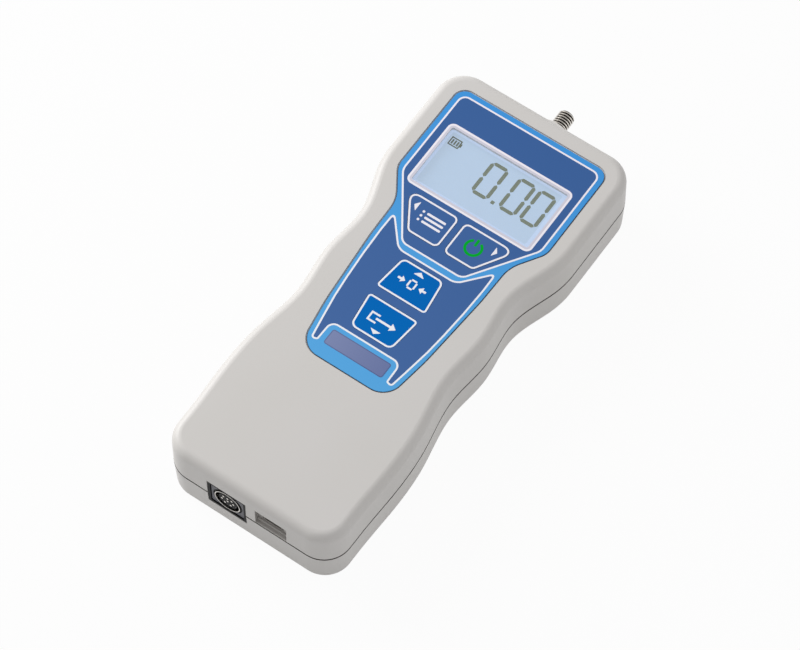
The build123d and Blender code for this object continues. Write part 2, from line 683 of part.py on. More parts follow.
def guide_channel():
    """Two ribs on the floor that hold the shaft's guide plate upright."""
    inner = GUIDE_HALF_WIDTH - 2 * RIB_THICKNESS
    outer = GUIDE_HALF_WIDTH + GUIDE_CLEARANCE + RIB_THICKNESS
    right = block(
        inner,
        outer,
        GUIDE_Y - GUIDE_CLEARANCE - RIB_THICKNESS,
        GUIDE_Y + GUIDE_THICKNESS + GUIDE_CLEARANCE + RIB_THICKNESS,
        FLOOR_ROOT_Z,
        SHAFT_Z,
    )
    slot = block(
        -GUIDE_HALF_WIDTH - GUIDE_CLEARANCE,
        GUIDE_HALF_WIDTH + GUIDE_CLEARANCE,
        GUIDE_Y - GUIDE_CLEARANCE,
        GUIDE_Y + GUIDE_THICKNESS + GUIDE_CLEARANCE,
        FLOOR_Z,
        SHAFT_Z + PAST,
    )
    return right + mirror(right, Plane.YZ) - slot


def casing_screws():
    """Four screws that go in from the back."""
    return [
        screw(
            centre,
            CASING_SCREW_SINK,
            CASING_SCREW_HEAD,
            CASING_SCREW_HEAD_RADIUS,
            CASING_SCREW_RADIUS,
            CASING_SCREW_LENGTH,
            True,
        )
        for centre in CASING_SCREW_CENTRES
    ]


def rear_label():
    """A bare plate glued into a shallow field of the back."""
    return raised(label_outline(), 0, LABEL_THICKNESS)


# Front panel, display and keys
def front_panel():
    """The printed film, open at the display and at the keys."""
    film = raised(panel_outline(), RECESS_Z, PANEL_TOP_Z)
    film -= raised(grown(window_outline(), WINDOW_CLEARANCE), RECESS_Z - PAST, PANEL_TOP_Z + PAST)
    for outline in key_outlines().values():
        film -= raised(grown(outline, KEY_CLEARANCE), RECESS_Z - PAST, PANEL_TOP_Z + PAST)
    return film


def display_window():
    """The clear pane, level with the film."""
    return raised(window_outline(), RECESS_Z, PANEL_TOP_Z)


def display_glass():
    """The liquid crystal glass behind the front cover."""
    left, right, bottom, top = glass_box(0)
    return block(left, right, bottom, top, GLASS_BOTTOM_Z, CEILING_Z)


def display_backlight():
    """The light guide under the glass."""
    left, right, bottom, top = glass_box(-ZEBRA_WIDTH - 2 * GLASS_CLEARANCE)
    return block(left, right, bottom, top, BACKLIGHT_BOTTOM_Z, GLASS_BOTTOM_Z)


def display_frame():
    """The moulded frame that holds the glass and stands on the main board."""
    left, right, bottom, top = glass_box(GLASS_CLEARANCE)
    wall = DISPLAY_FRAME_WALL
    frame = block(left - wall, right + wall, bottom - wall, top + wall, BOARD_TOP_Z, CEILING_Z)
    frame -= block(left, right, bottom, top, BACKLIGHT_BOTTOM_Z, CEILING_Z + PAST)
    inner = glass_box(-ZEBRA_WIDTH - 2 * GLASS_CLEARANCE - 2 * wall)
    frame -= block(*inner, BOARD_TOP_Z - PAST, BACKLIGHT_BOTTOM_Z + PAST)
    for strip in zebra_boxes(GLASS_CLEARANCE):
        frame -= strip
    return frame


def zebra_boxes(margin):
    """The two contact strips between the glass and the board."""
    left, right, bottom, top = glass_box(0)
    width = ZEBRA_WIDTH
    spans = [(bottom + margin, bottom + width), (top - width, top - margin)]
    reach = GLASS_CLEARANCE + DISPLAY_FRAME_WALL
    return [
        block(
            left + reach - margin,
            right - reach + margin,
            start - 2 * margin,
            end + 2 * margin,
            BOARD_TOP_Z - margin,
            GLASS_BOTTOM_Z + margin,
        )
        for start, end in spans
    ]


def zebra_strips():
    """The contact strips as separate solids."""
    return zebra_boxes(0)


def key(name, outline):
    """One press pad: its face, a flange under the cover and a post over the switch."""
    flange_top = CEILING_Z - KEY_FLANGE_GAP
    flange_bottom = flange_top - KEY_FLANGE_THICKNESS
    body = raised(outline, flange_bottom, PANEL_TOP_Z)
    body += raised(grown(outline, KEY_FLANGE_REACH), flange_bottom, flange_top)
    body += cylinder(KEY_POST_RADIUS, STEM_TOP_Z, flange_top, SWITCH_CENTRES[name])
    return body


def stem(name):
    """The moving stem of one switch."""
    bottom = SWITCH_TOP_Z - SWITCH_POCKET_DEPTH + KEY_TRAVEL + KEY_FLANGE_GAP
    return cylinder(STEM_RADIUS, bottom, STEM_TOP_Z, SWITCH_CENTRES[name])


def key_switches():
    """The four switch cases on the main board."""
    half = SWITCH_WIDTH / 2
    cases = []
    for x, y in SWITCH_CENTRES.values():
        case = block(x - half, x + half, y - half, y + half, BOARD_TOP_Z, SWITCH_TOP_Z)
        pocket_bottom = SWITCH_TOP_Z - SWITCH_POCKET_DEPTH
        radius = STEM_RADIUS + STEM_CLEARANCE
        cases.append(case - cylinder(radius, pocket_bottom, SWITCH_TOP_Z + PAST, (x, y)))
    return cases


# Boards
def board_screws_for(centres, board_bottom, length):
    """Small screws that go up through a board into the front cover."""
    return [
        screw(
            centre,
            board_bottom,
            BOARD_SCREW_HEAD,
            BOARD_SCREW_HEAD_RADIUS,
            BOARD_SCREW_RADIUS,
            length,
            True,
        )
        for centre in centres
    ]


def main_board():
    """The main circuit board under the front face."""
    outline = rounded_rectangle(
        -BOARD_HALF_WIDTH, BOARD_HALF_WIDTH, BOARD_BOTTOM_Y, BOARD_TOP_Y, BOARD_CORNER
    )
    board = raised(outline, BOARD_BOTTOM_Z, BOARD_TOP_Z)
    radius = BOARD_SCREW_RADIUS + SCREW_CLEARANCE
    for centre in BOARD_SCREW_CENTRES:
        board -= cylinder(radius, BOARD_BOTTOM_Z - PAST, BOARD_TOP_Z + PAST, centre)
    notch = CASING_BOSS_RADIUS + BOARD_MARGIN
    for centre in CASING_SCREW_CENTRES:
        board -= cylinder(notch, BOARD_BOTTOM_Z - PAST, BOARD_TOP_Z + PAST, centre)
    return board


def main_board_screws():
    """The screws of the main board."""
    return board_screws_for(BOARD_SCREW_CENTRES, BOARD_BOTTOM_Z, MAIN_SCREW_LENGTH)


def board_chips():
    """The larger chips on the lower side of the main board."""
    chips = [
        (PROCESSOR_SIZE, PROCESSOR_SIZE, PROCESSOR_PLACE),
        (CONVERTER_WIDTH, CONVERTER_LENGTH, CONVERTER_PLACE),
        (MEMORY_SIZE, MEMORY_SIZE, MEMORY_PLACE),
    ]
    middle_z = BOARD_BOTTOM_Z - CHIP_HEIGHT / 2
    return [Pos(x, y, middle_z) * Box(width, length, CHIP_HEIGHT) for width, length, (x, y) in chips]


def beeper():
    """The round sounder under the main board."""
    return cylinder(BEEPER_RADIUS, BOARD_BOTTOM_Z - BEEPER_HEIGHT, BOARD_BOTTOM_Z, (BEEPER_X, BEEPER_Y))


def connector_board():
    """The small board over the two sockets."""
    outline = rounded_rectangle(
        -SOCKET_BOARD_HALF,
        SOCKET_BOARD_HALF,
        SOCKET_BOARD_BOTTOM_Y,
        SOCKET_BOARD_TOP_Y,
        BOARD_CORNER,
    )
    board = raised(outline, SOCKET_BOARD_BOTTOM_Z, SOCKET_BOARD_TOP_Z)
    radius = BOARD_SCREW_RADIUS + SCREW_CLEARANCE
    for centre in SOCKET_SCREW_CENTRES:
        board -= cylinder(radius, SOCKET_BOARD_BOTTOM_Z - PAST, SOCKET_BOARD_TOP_Z + PAST, centre)
    half = DATA_SOCKET_WIDTH / 2
    board -= block(
        DATA_SOCKET_X - half,
        DATA_SOCKET_X + half,
        SOCKET_BOARD_BOTTOM_Y - PAST,
        DATA_BACK_Y,
        SOCKET_BOARD_BOTTOM_Z - PAST,
        SOCKET_BOARD_TOP_Z + PAST,
    )
    return board


def connector_board_screws():
    """The screws of the socket board."""
    return board_screws_for(SOCKET_SCREW_CENTRES, SOCKET_BOARD_BOTTOM_Z, SOCKET_SCREW_LENGTH)


def board_header():
    """The pin strip between the two boards."""
    half = HEADER_LENGTH / 2
    return block(
        -half,
        half,
        SOCKET_BOARD_TOP_Y,
        SOCKET_BOARD_TOP_Y + HEADER_WIDTH,
        BOARD_TOP_Z,
        SOCKET_BOARD_TOP_Z,
    )


# Sockets
def data_socket_housing():
    """The dark block of the round socket, in a notch of the socket board."""
    half = DATA_SOCKET_WIDTH / 2 - SOCKET_CLEARANCE
    body = block(
        DATA_SOCKET_X - half,
        DATA_SOCKET_X + half,
        DATA_FACE_Y,
        DATA_BACK_Y,
        DATA_SOCKET_TOP_Z - DATA_SOCKET_HEIGHT + SOCKET_CLEARANCE,
        DATA_SOCKET_TOP_Z - SOCKET_CLEARANCE,
    )
    body -= raised_y(data_plate_outline(SOCKET_CLEARANCE / 2), DATA_FACE_Y - PAST, DATA_PLATE_BACK_Y)
    bore = cylinder_y(
        SOCKET_SHELL_RADIUS + SOCKET_PIN_CLEARANCE,
        DATA_FACE_Y - PAST,
        DATA_FACE_Y + SOCKET_SHELL_LENGTH,
        DATA_SOCKET_X,
        DATA_SOCKET_MID_Z,
    )
    return body - bore


def data_plate_outline(margin):
    """The grey face of the round socket, drawn in X and Z."""
    half_width = DATA_SOCKET_WIDTH / 2 - SOCKET_BORDER + margin
    half_height = DATA_SOCKET_HEIGHT / 2 - SOCKET_BORDER + margin
    middle = Pos(DATA_SOCKET_X, DATA_SOCKET_MID_Z)
    return middle * Rectangle(2 * half_width, 2 * half_height)


def data_socket_plate():
    """The thin grey plate round the socket's ring."""
    radius = SOCKET_SHELL_RADIUS + SOCKET_PIN_CLEARANCE
    hole = Pos(DATA_SOCKET_X, DATA_SOCKET_MID_Z) * Circle(radius)
    return raised_y(data_plate_outline(0) - hole, DATA_FACE_Y, DATA_PLATE_BACK_Y)


def data_socket_shell():
    """The round metal ring of the socket."""
    start = DATA_FACE_Y - SOCKET_SHELL_PROUD
    end = DATA_FACE_Y + SOCKET_SHELL_LENGTH
    place = (DATA_SOCKET_X, DATA_SOCKET_MID_Z)
    ring = cylinder_y(SOCKET_SHELL_RADIUS, start, end, *place)
    return ring - cylinder_y(SOCKET_SHELL_RADIUS - SOCKET_SHELL_WALL, start - PAST, end + PAST, *place)


def pin_places():
    """The pins of the round socket: a wide row, a middle row and a lower pair."""
    narrow = SOCKET_PIN_PITCH
    wide = SOCKET_WIDE_PIN_PITCH
    rows = [
        (SOCKET_ROW_PITCH, (-narrow, 0.0, narrow)),
        (0.0, (-wide, 0.0, wide)),
        (-SOCKET_ROW_PITCH, (-wide / 2, wide / 2)),
    ]
    return [(DATA_SOCKET_X + x, DATA_SOCKET_MID_Z + z) for z, xs in rows for x in xs]


def data_socket_insert():
    """The dark round insert with its pin holes."""
    start = DATA_FACE_Y + SOCKET_SHELL_LENGTH - SOCKET_INSERT_LENGTH
    end = DATA_FACE_Y + SOCKET_SHELL_LENGTH
    insert = cylinder_y(SOCKET_INSERT_RADIUS, start, end, DATA_SOCKET_X, DATA_SOCKET_MID_Z)
    flange_radius = SOCKET_SHELL_RADIUS - SOCKET_SHELL_WALL - SOCKET_PIN_CLEARANCE
    insert += cylinder_y(flange_radius, end - SOCKET_FLANGE, end, DATA_SOCKET_X, DATA_SOCKET_MID_Z)
    for x, z in pin_places():
        insert -= cylinder_y(SOCKET_PIN_RADIUS + SOCKET_PIN_CLEARANCE, start - PAST, end, x, z)
    return insert


def data_socket_pins():
    """The metal contacts in the insert."""
    end = DATA_FACE_Y + SOCKET_SHELL_LENGTH
    start = end - SOCKET_INSERT_LENGTH + SOCKET_SHELL_PROUD
    return [cylinder_y(SOCKET_PIN_RADIUS, start, end, x, z) for x, z in pin_places()]


def usb_socket_shell():
    """The metal shell of the USB socket."""
    outer = usb_outline(0)
    inner = usb_outline(-USB_SHELL_WALL)
    tube = raised_y(outer, USB_FACE_Y, USB_FACE_Y + USB_LENGTH)
    cavity = raised_y(inner, USB_FACE_Y - PAST, USB_FACE_Y + USB_LENGTH - USB_SHELL_WALL)
    return tube - cavity


def usb_outline(margin):
    """The socket's mouth: a rectangle whose lower corners are cut."""
    half = USB_WIDTH / 2 + margin
    top = USB_MID_Z + USB_HEIGHT / 2 + margin
    bottom = USB_MID_Z - USB_HEIGHT / 2 - margin
    waist = USB_MID_Z - USB_HEIGHT / 2 + USB_CORNER_HEIGHT
    points = [
        (USB_X - half, top),
        (USB_X + half, top),
        (USB_X + half, waist),
        (USB_X + half - USB_CORNER_WIDTH, bottom),
        (USB_X - half + USB_CORNER_WIDTH, bottom),
        (USB_X - half, waist),
    ]
    return make_face(Polyline(*points, close=True))


def usb_socket_tongue():
    """The contact tongue inside the USB socket."""
    half = USB_TONGUE_WIDTH / 2
    return block(
        USB_X - half,
        USB_X + half,
        USB_FACE_Y + USB_SHELL_WALL + USB_TONGUE_INSET,
        USB_FACE_Y + USB_LENGTH - USB_SHELL_WALL,
        USB_MID_Z - USB_TONGUE_HEIGHT / 2,
        USB_MID_Z + USB_TONGUE_HEIGHT / 2,
    )


# Force path
def measuring_shaft():
    """The turned steel shaft: threaded tip, collar, guided neck and threaded root."""
    tip = cylinder_y(THREAD_RADIUS, THREAD_START_Y, SHAFT_TIP_Y, 0, SHAFT_Z)
    tip = chamfer(tip.edges().group_by(Axis.Y)[-1], THREAD_CHAMFER)
    collar = cylinder_y(COLLAR_RADIUS, COLLAR_START_Y, THREAD_START_Y, 0, SHAFT_Z)
    collar = chamfer(collar.edges().group_by(Axis.Y)[-1], THREAD_CHAMFER)
    neck = cylinder_y(NECK_RADIUS, CELL_TOP_Y + NUT_THICKNESS, COLLAR_START_Y, 0, SHAFT_Z)
    root_end = CELL_TOP_Y - CELL_ARM + SHAFT_ROOT_GAP
    root = cylinder_y(THREAD_RADIUS, root_end, CELL_TOP_Y + NUT_THICKNESS, 0, SHAFT_Z)
    return tip + collar + neck + root


def shaft_nut():
    """The lock nut between the shaft's neck and the load cell."""
    radius = NUT_ACROSS / math.sqrt(3)
    hexagon = Pos(0, SHAFT_Z) * RegularPolygon(radius, 6, rotation=30)
    bore = Pos(0, SHAFT_Z) * Circle(THREAD_RADIUS + THREAD_CLEARANCE)
    return raised_y(hexagon - bore, CELL_TOP_Y, CELL_TOP_Y + NUT_THICKNESS)


def load_cell():
    """An S-shaped aluminium block: live arm, sprung middle and fixed arm."""
    half = CELL_HALF_WIDTH
    body = block(-half, half, CELL_BOTTOM_Y, CELL_TOP_Y, CELL_BOTTOM_Z, CELL_TOP_Z)
    upper = CELL_TOP_Y - CELL_ARM
    lower = CELL_BOTTOM_Y + CELL_ARM
    low_z = CELL_BOTTOM_Z - PAST
    high_z = CELL_TOP_Z + PAST
    body -= block(-half - PAST, half - CELL_WEB, upper - CELL_SLOT, upper, low_z, high_z)
    body -= block(-half + CELL_WEB, half + PAST, lower, lower + CELL_SLOT, low_z, high_z)
    middle_y = (CELL_TOP_Y + CELL_BOTTOM_Y) / 2
    for side in (-1, 1):
        eye = (side * CELL_EYE_SPACING / 2, middle_y)
        body -= cylinder(CELL_EYE_RADIUS, low_z, high_z, eye)
    slot_half = CELL_EYE_SLOT / 2
    body -= block(
        -CELL_EYE_SPACING / 2,
        CELL_EYE_SPACING / 2,
        middle_y - slot_half,
        middle_y + slot_half,
        low_z,
        high_z,
    )
    body += block(-half, half, CELL_BOTTOM_Y, lower, CHASSIS_TOP_Z, CELL_TOP_Z)
    body -= cylinder_y(THREAD_RADIUS + THREAD_CLEARANCE, upper - PAST, CELL_TOP_Y + PAST, 0, SHAFT_Z)
    for centre in CELL_SCREW_CENTRES:
        body -= cylinder(CELL_SCREW_RADIUS + SCREW_CLEARANCE, low_z - PAST, high_z, centre)
        body -= cylinder(CELL_SCREW_HEAD_RADIUS + SCREW_CLEARANCE, CELL_SCREW_SEAT_Z, high_z, centre)
    return body


def strain_gauges():
    """Thin gauges glued on the cell over and under its eyes."""
    middle_y = (CELL_TOP_Y + CELL_BOTTOM_Y) / 2
    gauges = []
    for side in (-1, 1):
        x = side * (CELL_EYE_SPACING / 2 + CELL_EYE_RADIUS + GAUGE_WIDTH)
        gauge = block(
            x - GAUGE_WIDTH / 2,
            x + GAUGE_WIDTH / 2,
            middle_y - GAUGE_LENGTH / 2,
            middle_y + GAUGE_LENGTH / 2,
            CELL_TOP_Z,
            CELL_TOP_Z + GAUGE_THICKNESS,
        )
        gauges.append(gauge)
    return gauges


def cell_screws():
    """Two cap screws that hold the fixed arm to the chassis plate."""
    return [
        screw(
            centre,
            CELL_SCREW_SEAT_Z,
            CELL_SCREW_HEAD,
            CELL_SCREW_HEAD_RADIUS,
            CELL_SCREW_RADIUS,
            CELL_SCREW_SEAT_Z - FLOOR_Z - SCREW_CLEARANCE,
            False,
        )
        for centre in CELL_SCREW_CENTRES
    ]


def chassis_plate():
    """The steel plate on the floor that ties the cell to the stand threads."""
    top_y = CELL_BOTTOM_Y + CELL_ARM
    plate = block(
        -CHASSIS_HALF_WIDTH, CHASSIS_HALF_WIDTH, CHASSIS_BOTTOM_Y, top_y, FLOOR_Z, CHASSIS_TOP_Z
    )
    for centre in STAND_CENTRES:
        radius = INSERT_RADIUS + INSERT_CLEARANCE
        plate -= cylinder(radius, FLOOR_Z - PAST, CHASSIS_TOP_Z + PAST, centre)
    for centre in STAKE_CENTRES:
        radius = STAKE_RADIUS + INSERT_CLEARANCE
        plate -= cylinder(radius, FLOOR_Z - PAST, CHASSIS_TOP_Z + PAST, centre)
    for centre in CELL_SCREW_CENTRES:
        radius = CELL_SCREW_RADIUS + THREAD_CLEARANCE
        plate -= cylinder(radius, FLOOR_Z - PAST, CHASSIS_TOP_Z + PAST, centre)
    return plate


def stand_inserts():
    """Four threaded bushes, seen from the back as the stand holes."""
    bushes = []
    for centre in STAND_CENTRES:
        flange_top = CHASSIS_TOP_Z + INSERT_FLANGE
        bush = cylinder(INSERT_RADIUS, 0, flange_top, centre)
        bush += cylinder(INSERT_FLANGE_RADIUS, CHASSIS_TOP_Z, flange_top, centre)
        bushes.append(bush - cylinder(STAND_HOLE_RADIUS, -PAST, flange_top + PAST, centre))
    return bushes


def shaft_guide():
    """The upright plate whose hole keeps the shaft in line."""
    plate = block(
        -GUIDE_HALF_WIDTH,
        GUIDE_HALF_WIDTH,
        GUIDE_Y,
        GUIDE_Y + GUIDE_THICKNESS,
        FLOOR_Z,
        FLOOR_Z + GUIDE_HEIGHT,
    )
    hole = cylinder_y(
        NECK_RADIUS + NECK_CLEARANCE, GUIDE_Y - PAST, GUIDE_Y + GUIDE_THICKNESS + PAST, 0, SHAFT_Z
    )
    return plate - hole


def rising_lead(x, start_y, z, direction):
    """A lead that leaves a piece along Y and turns up to the main board."""
    far_y = start_y + direction * (2 * LEAD_BEND + LEAD_STUB)
    route = [(x, start_y, z), (x, far_y, z), (x, far_y, BOARD_BOTTOM_Z)]
    path = FilletPolyline(*route, radius=LEAD_BEND)
    return sweep(Plane(origin=route[0], z_dir=(0, direction, 0)) * Circle(LEAD_RADIUS), path=path)


def cell_lead():
    """The lead from the cell's fixed arm."""
    return rising_lead(0, CELL_BOTTOM_Y, SHAFT_Z, -1)


# Battery pack
def battery_places():
    """The middle of each cell along the handle."""
    return [BATTERY_FIRST_Y + i * BATTERY_PITCH for i in range(BATTERY_COUNT)]


def battery_cells():
    """Round cells that lie across the handle."""
    half = BATTERY_LENGTH / 2
    cells = []
    for i, y in enumerate(battery_places()):
        can = Cylinder(BATTERY_RADIUS, BATTERY_LENGTH)
        tip_side = 1 if i % 2 else -1
        tip = Cylinder(BATTERY_TIP_RADIUS, BATTERY_TIP_LENGTH * 2)
        body = can + Pos(0, 0, tip_side * half) * tip
        cells.append(Pos(0, y, BATTERY_MID_Z) * Rot(0, 90, 0) * body)
    return cells


def battery_tray():
    """The open tray that keeps the cells together on the floor."""
    half = BATTERY_LENGTH / 2 + BATTERY_TIP_LENGTH + TRAY_CLEARANCE
    top = FLOOR_Z + TRAY_HEIGHT
    wall = TRAY_WALL
    tray = block(-half - wall, half + wall, TRAY_LOW_Y, TRAY_HIGH_Y, FLOOR_Z, top)
    pocket_floor = FLOOR_Z + TRAY_FLOOR
    return tray - block(-half, half, TRAY_LOW_Y + wall, TRAY_HIGH_Y - wall, pocket_floor, top + PAST)


def battery_lead():
    """The lead from the end wall of the tray."""
    return rising_lead(BATTERY_LEAD_X, TRAY_HIGH_Y, BATTERY_MID_Z, 1)


def build_all():
    """Every node of the gauge by name."""
    nodes = {
        "front_cover": front_cover(),
        "rear_cover": rear_cover(),
        "casing_screws": casing_screws(),
        "rear_label": rear_label(),
        "front_panel": front_panel(),
        "display_window": display_window(),
        "display_glass": display_glass(),
        "display_backlight": display_backlight(),
        "display_frame": display_frame(),
        "zebra_strips": zebra_strips(),
        "key_switches": key_switches(),
        "main_board": main_board(),
        "board_screws": main_board_screws(),
        "board_chips": board_chips(),
        "beeper": beeper(),
        "connector_board": connector_board(),
        "connector_board_screws": connector_board_screws(),
        "board_header": board_header(),
        "data_socket_housing": data_socket_housing(),
        "data_socket_plate": data_socket_plate(),
        "data_socket_shell": data_socket_shell(),
        "data_socket_insert": data_socket_insert(),
        "data_socket_pins": data_socket_pins(),
        "usb_socket_shell": usb_socket_shell(),
        "usb_socket_tongue": usb_socket_tongue(),
        "measuring_shaft": measuring_shaft(),
        "shaft_nut": shaft_nut(),
        "shaft_guide": shaft_guide(),
        "load_cell": load_cell(),
        "strain_gauges": strain_gauges(),
        "cell_screws": cell_screws(),
        "cell_lead": cell_lead(),
        "chassis_plate": chassis_plate(),
        "stand_inserts": stand_inserts(),
        "battery_cells": battery_cells(),
        "battery_tray": battery_tray(),
        "battery_lead": battery_lead(),
    }
    for name, outline in key_outlines().items():
        nodes[name + "_key"] = key(name, outline)
        nodes[name + "_stem"] = stem(name)
    return nodes


for node, shape in build_all().items():
    solids = shape if isinstance(shape, list) else [shape]
    bodies = [body for item in solids for body in item.solids()]
    export_step(Compound(children=bodies) if len(bodies) > 1 else bodies[0], f"parts/{node}.step")
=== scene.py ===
# %% [markdown]
# # A pocket force gauge
# A force gauge is pushed or pulled by the threaded shaft in its head, and its display shows the force.
# The casing, keys, sockets and inner parts come from the CAD model. This lesson gives them their
# materials, and models what a solid model leaves out: the printing, the display and the screw thread.
# Everything is in metres and stands where the real part stands, so nothing is moved at the end.

# %% Load the frame
import bpy
import math
from mathutils import Matrix, Vector
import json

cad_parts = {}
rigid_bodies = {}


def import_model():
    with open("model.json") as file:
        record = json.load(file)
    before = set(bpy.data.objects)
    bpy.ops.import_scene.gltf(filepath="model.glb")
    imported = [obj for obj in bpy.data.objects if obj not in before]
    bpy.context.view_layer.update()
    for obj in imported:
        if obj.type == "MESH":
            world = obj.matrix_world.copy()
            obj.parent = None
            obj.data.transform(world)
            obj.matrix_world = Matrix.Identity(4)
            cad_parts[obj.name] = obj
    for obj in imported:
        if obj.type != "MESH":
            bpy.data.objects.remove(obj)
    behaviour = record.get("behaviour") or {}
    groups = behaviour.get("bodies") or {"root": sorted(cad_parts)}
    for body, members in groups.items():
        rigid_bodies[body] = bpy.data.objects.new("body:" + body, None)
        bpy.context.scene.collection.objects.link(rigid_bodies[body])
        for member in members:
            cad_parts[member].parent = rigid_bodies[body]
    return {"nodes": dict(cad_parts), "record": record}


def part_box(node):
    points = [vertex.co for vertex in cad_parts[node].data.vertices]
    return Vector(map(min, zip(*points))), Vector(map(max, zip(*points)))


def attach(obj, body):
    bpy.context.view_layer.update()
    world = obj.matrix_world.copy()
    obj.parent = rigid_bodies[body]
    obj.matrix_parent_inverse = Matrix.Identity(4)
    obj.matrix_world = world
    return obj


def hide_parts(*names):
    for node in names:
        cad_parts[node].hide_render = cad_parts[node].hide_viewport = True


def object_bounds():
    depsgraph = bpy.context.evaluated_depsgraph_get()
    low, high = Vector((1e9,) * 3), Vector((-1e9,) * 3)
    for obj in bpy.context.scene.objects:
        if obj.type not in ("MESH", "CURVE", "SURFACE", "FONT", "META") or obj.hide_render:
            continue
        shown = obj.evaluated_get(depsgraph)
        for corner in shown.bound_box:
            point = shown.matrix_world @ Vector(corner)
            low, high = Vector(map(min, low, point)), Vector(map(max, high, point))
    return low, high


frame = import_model()
cad_box = [list(corner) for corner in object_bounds()]
print("CAD nodes:", len(frame["nodes"]), "box in mm:", [[round(v * 1000, 1) for v in c] for c in cad_box])

# %% [markdown]
# ## Working in millimetres
# Drawings of such a gauge are in millimetres and Blender works in metres. One factor turns one into
# the other, so every number below can be read as a length on the real object.

# %% Millimetres
MM = 0.001


def mm(*values):
    """Lengths in millimetres as a tuple of metres."""
    return tuple(value * MM for value in values)


print("a width of 72.8 mm is", mm(72.8), "m")

# %% [markdown]
# ## The camera
# The photograph is taken from the front right and from high above, with a long lens from about 1.1 m.
# The angles were worked out from the panel, which is a mirror image of itself about its middle line.
# The camera's three axes are written as the columns of its matrix: right, up and back.

# %% Camera
AZIMUTH = math.radians(35.22)
ELEVATION = math.radians(61.63)
ROLL = math.radians(-0.38)
AIM = Vector(mm(5.21, -7.37, 27.3))
DISTANCE = 1.1429

back = Vector((
    math.sin(AZIMUTH) * math.cos(ELEVATION),
    -math.cos(AZIMUTH) * math.cos(ELEVATION),
    math.sin(ELEVATION),
))
level_right = Vector((math.cos(AZIMUTH), math.sin(AZIMUTH), 0))
level_up = back.cross(level_right)
right = level_right * math.cos(ROLL) + level_up * math.sin(ROLL)
up = level_up * math.cos(ROLL) - level_right * math.sin(ROLL)

bpy.ops.object.camera_add()
camera = bpy.context.object
camera.name = "camera"
camera.data.lens = 162
camera.data.sensor_width = 36
camera.data.clip_start = 0.01
place = Matrix((right, up, back)).transposed().to_4x4()
place.translation = AIM + back * DISTANCE
camera.matrix_world = place
bpy.context.scene.camera = camera
print("camera at", [round(v, 3) for v in place.translation])

# %% [markdown]
# ## Colour and nodes
# Colours are picked from a screen, so they are sRGB hex values. Blender wants linear light, and
# one function does the change. Another adds one node to a material with its settings and links, and
# a third feeds colour, gloss and relief into the shader. Its constants are set on its own sockets.

# %% Helpers for materials
def colour(hex_value):
    """An sRGB hex value as linear red, green, blue and alpha."""
    channels = [int(hex_value[i:i + 2], 16) / 255 for i in (1, 3, 5)]
    return [c / 12.92 if c <= 0.04045 else ((c + 0.055) / 1.055) ** 2.4 for c in channels] + [1.0]


def add(material, kind, settings=None, links=None):
    """Adds one node. Settings are sockets or properties; a link is an output, or a node for its first."""
    tree = material.node_tree
    node = tree.nodes.new("ShaderNode" + kind)
    for name, value in (settings or {}).items():
        if isinstance(name, int) or name in node.inputs:
            node.inputs[name].default_value = value
        else:
            setattr(node, name, value)
    for name, source in (links or {}).items():
        tree.links.new(getattr(source, "outputs", [source])[0], node.inputs[name])
    return node


def surface(name, base, roughness, **sockets):
    """A new material and its shader, with the numbers that are the same all over."""
    material = bpy.data.materials.new(name)
    material.use_nodes = True
    shader = material.node_tree.nodes["Principled BSDF"]
    shader.inputs["Base Color"].default_value = colour(base)
    shader.inputs["Roughness"].default_value = roughness
    for socket, value in sockets.items():
        shader.inputs[socket.replace("_", " ")].default_value = value
    return material, shader


def feed(material, shader, tone, sheen, bump):
    """Links a mixed colour, a gloss and a relief to the shader."""
    links = material.node_tree.links
    links.new(tone.outputs[2], shader.inputs["Base Color"])
    links.new(sheen.outputs[0], shader.inputs["Roughness"])
    links.new(bump.outputs[0], shader.inputs["Normal"])


def middle_of(node):
    """The middle of a CAD node, which a Mapping node takes away to centre a pattern."""
    low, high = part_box(node)
    return [-(a + b) / 2 for a, b in zip(low, high)]


print("mid grey #808080 is", round(colour("#808080")[0], 3), "in linear light")

# %% [markdown]
# ## ABS, injection moulded with a spark-eroded texture
# The casing is warm grey ABS. Its mould is eroded by sparks, which leaves a fine pebble that turns a
# sharp reflection into a soft sheen. Real pebbles are about 0.1 mm, too fine to show from a metre, so
# they are drawn at 0.35 mm. A slow change of tone, 30 mm wide, stands for the flow of the plastic.
# An image of the texture would show its repeats; two noises have none. Inside the openings of the
# foot the casing gets painted shade: its colour darkens from a quarter of a millimetre inside that wall.

# %% Casing material
PEBBLE = 0.35 * MM
FLOW = 30 * MM
casing_abs, casing_shader = surface("abs_spark_eroded_warm_grey", "#CCC9C6", 0.46, IOR=1.54)
spot = add(casing_abs, "TexCoord").outputs["Object"]
place = add(casing_abs, "Mapping", {"Location": middle_of("front_cover")}, {"Vector": spot})
pebble = add(casing_abs, "TexNoise", {"Scale": 1 / PEBBLE, "Detail": 2}, {"Vector": place})
flow = add(casing_abs, "TexNoise", {"Scale": 1 / FLOW, "Detail": 1}, {"Vector": place})
tones = {"data_type": "RGBA", 6: colour("#CAC7C3"), 7: colour("#CECBC9")}
tone = add(casing_abs, "Mix", tones, {0: flow})
sheen = add(casing_abs, "MapRange", {"To Min": 0.42, "To Max": 0.52}, {"Value": pebble})
bump = add(casing_abs, "Bump", {"Strength": 0.5, "Distance": 0.012 * MM}, {"Height": pebble})
print("pebbles per metre:", round(1 / PEBBLE))

# %% Painted shade in the openings of the foot
FOOT = cad_box[0][1] / MM
SHADE_START, SHADE_FULL = FOOT + 0.22, FOOT + 0.6
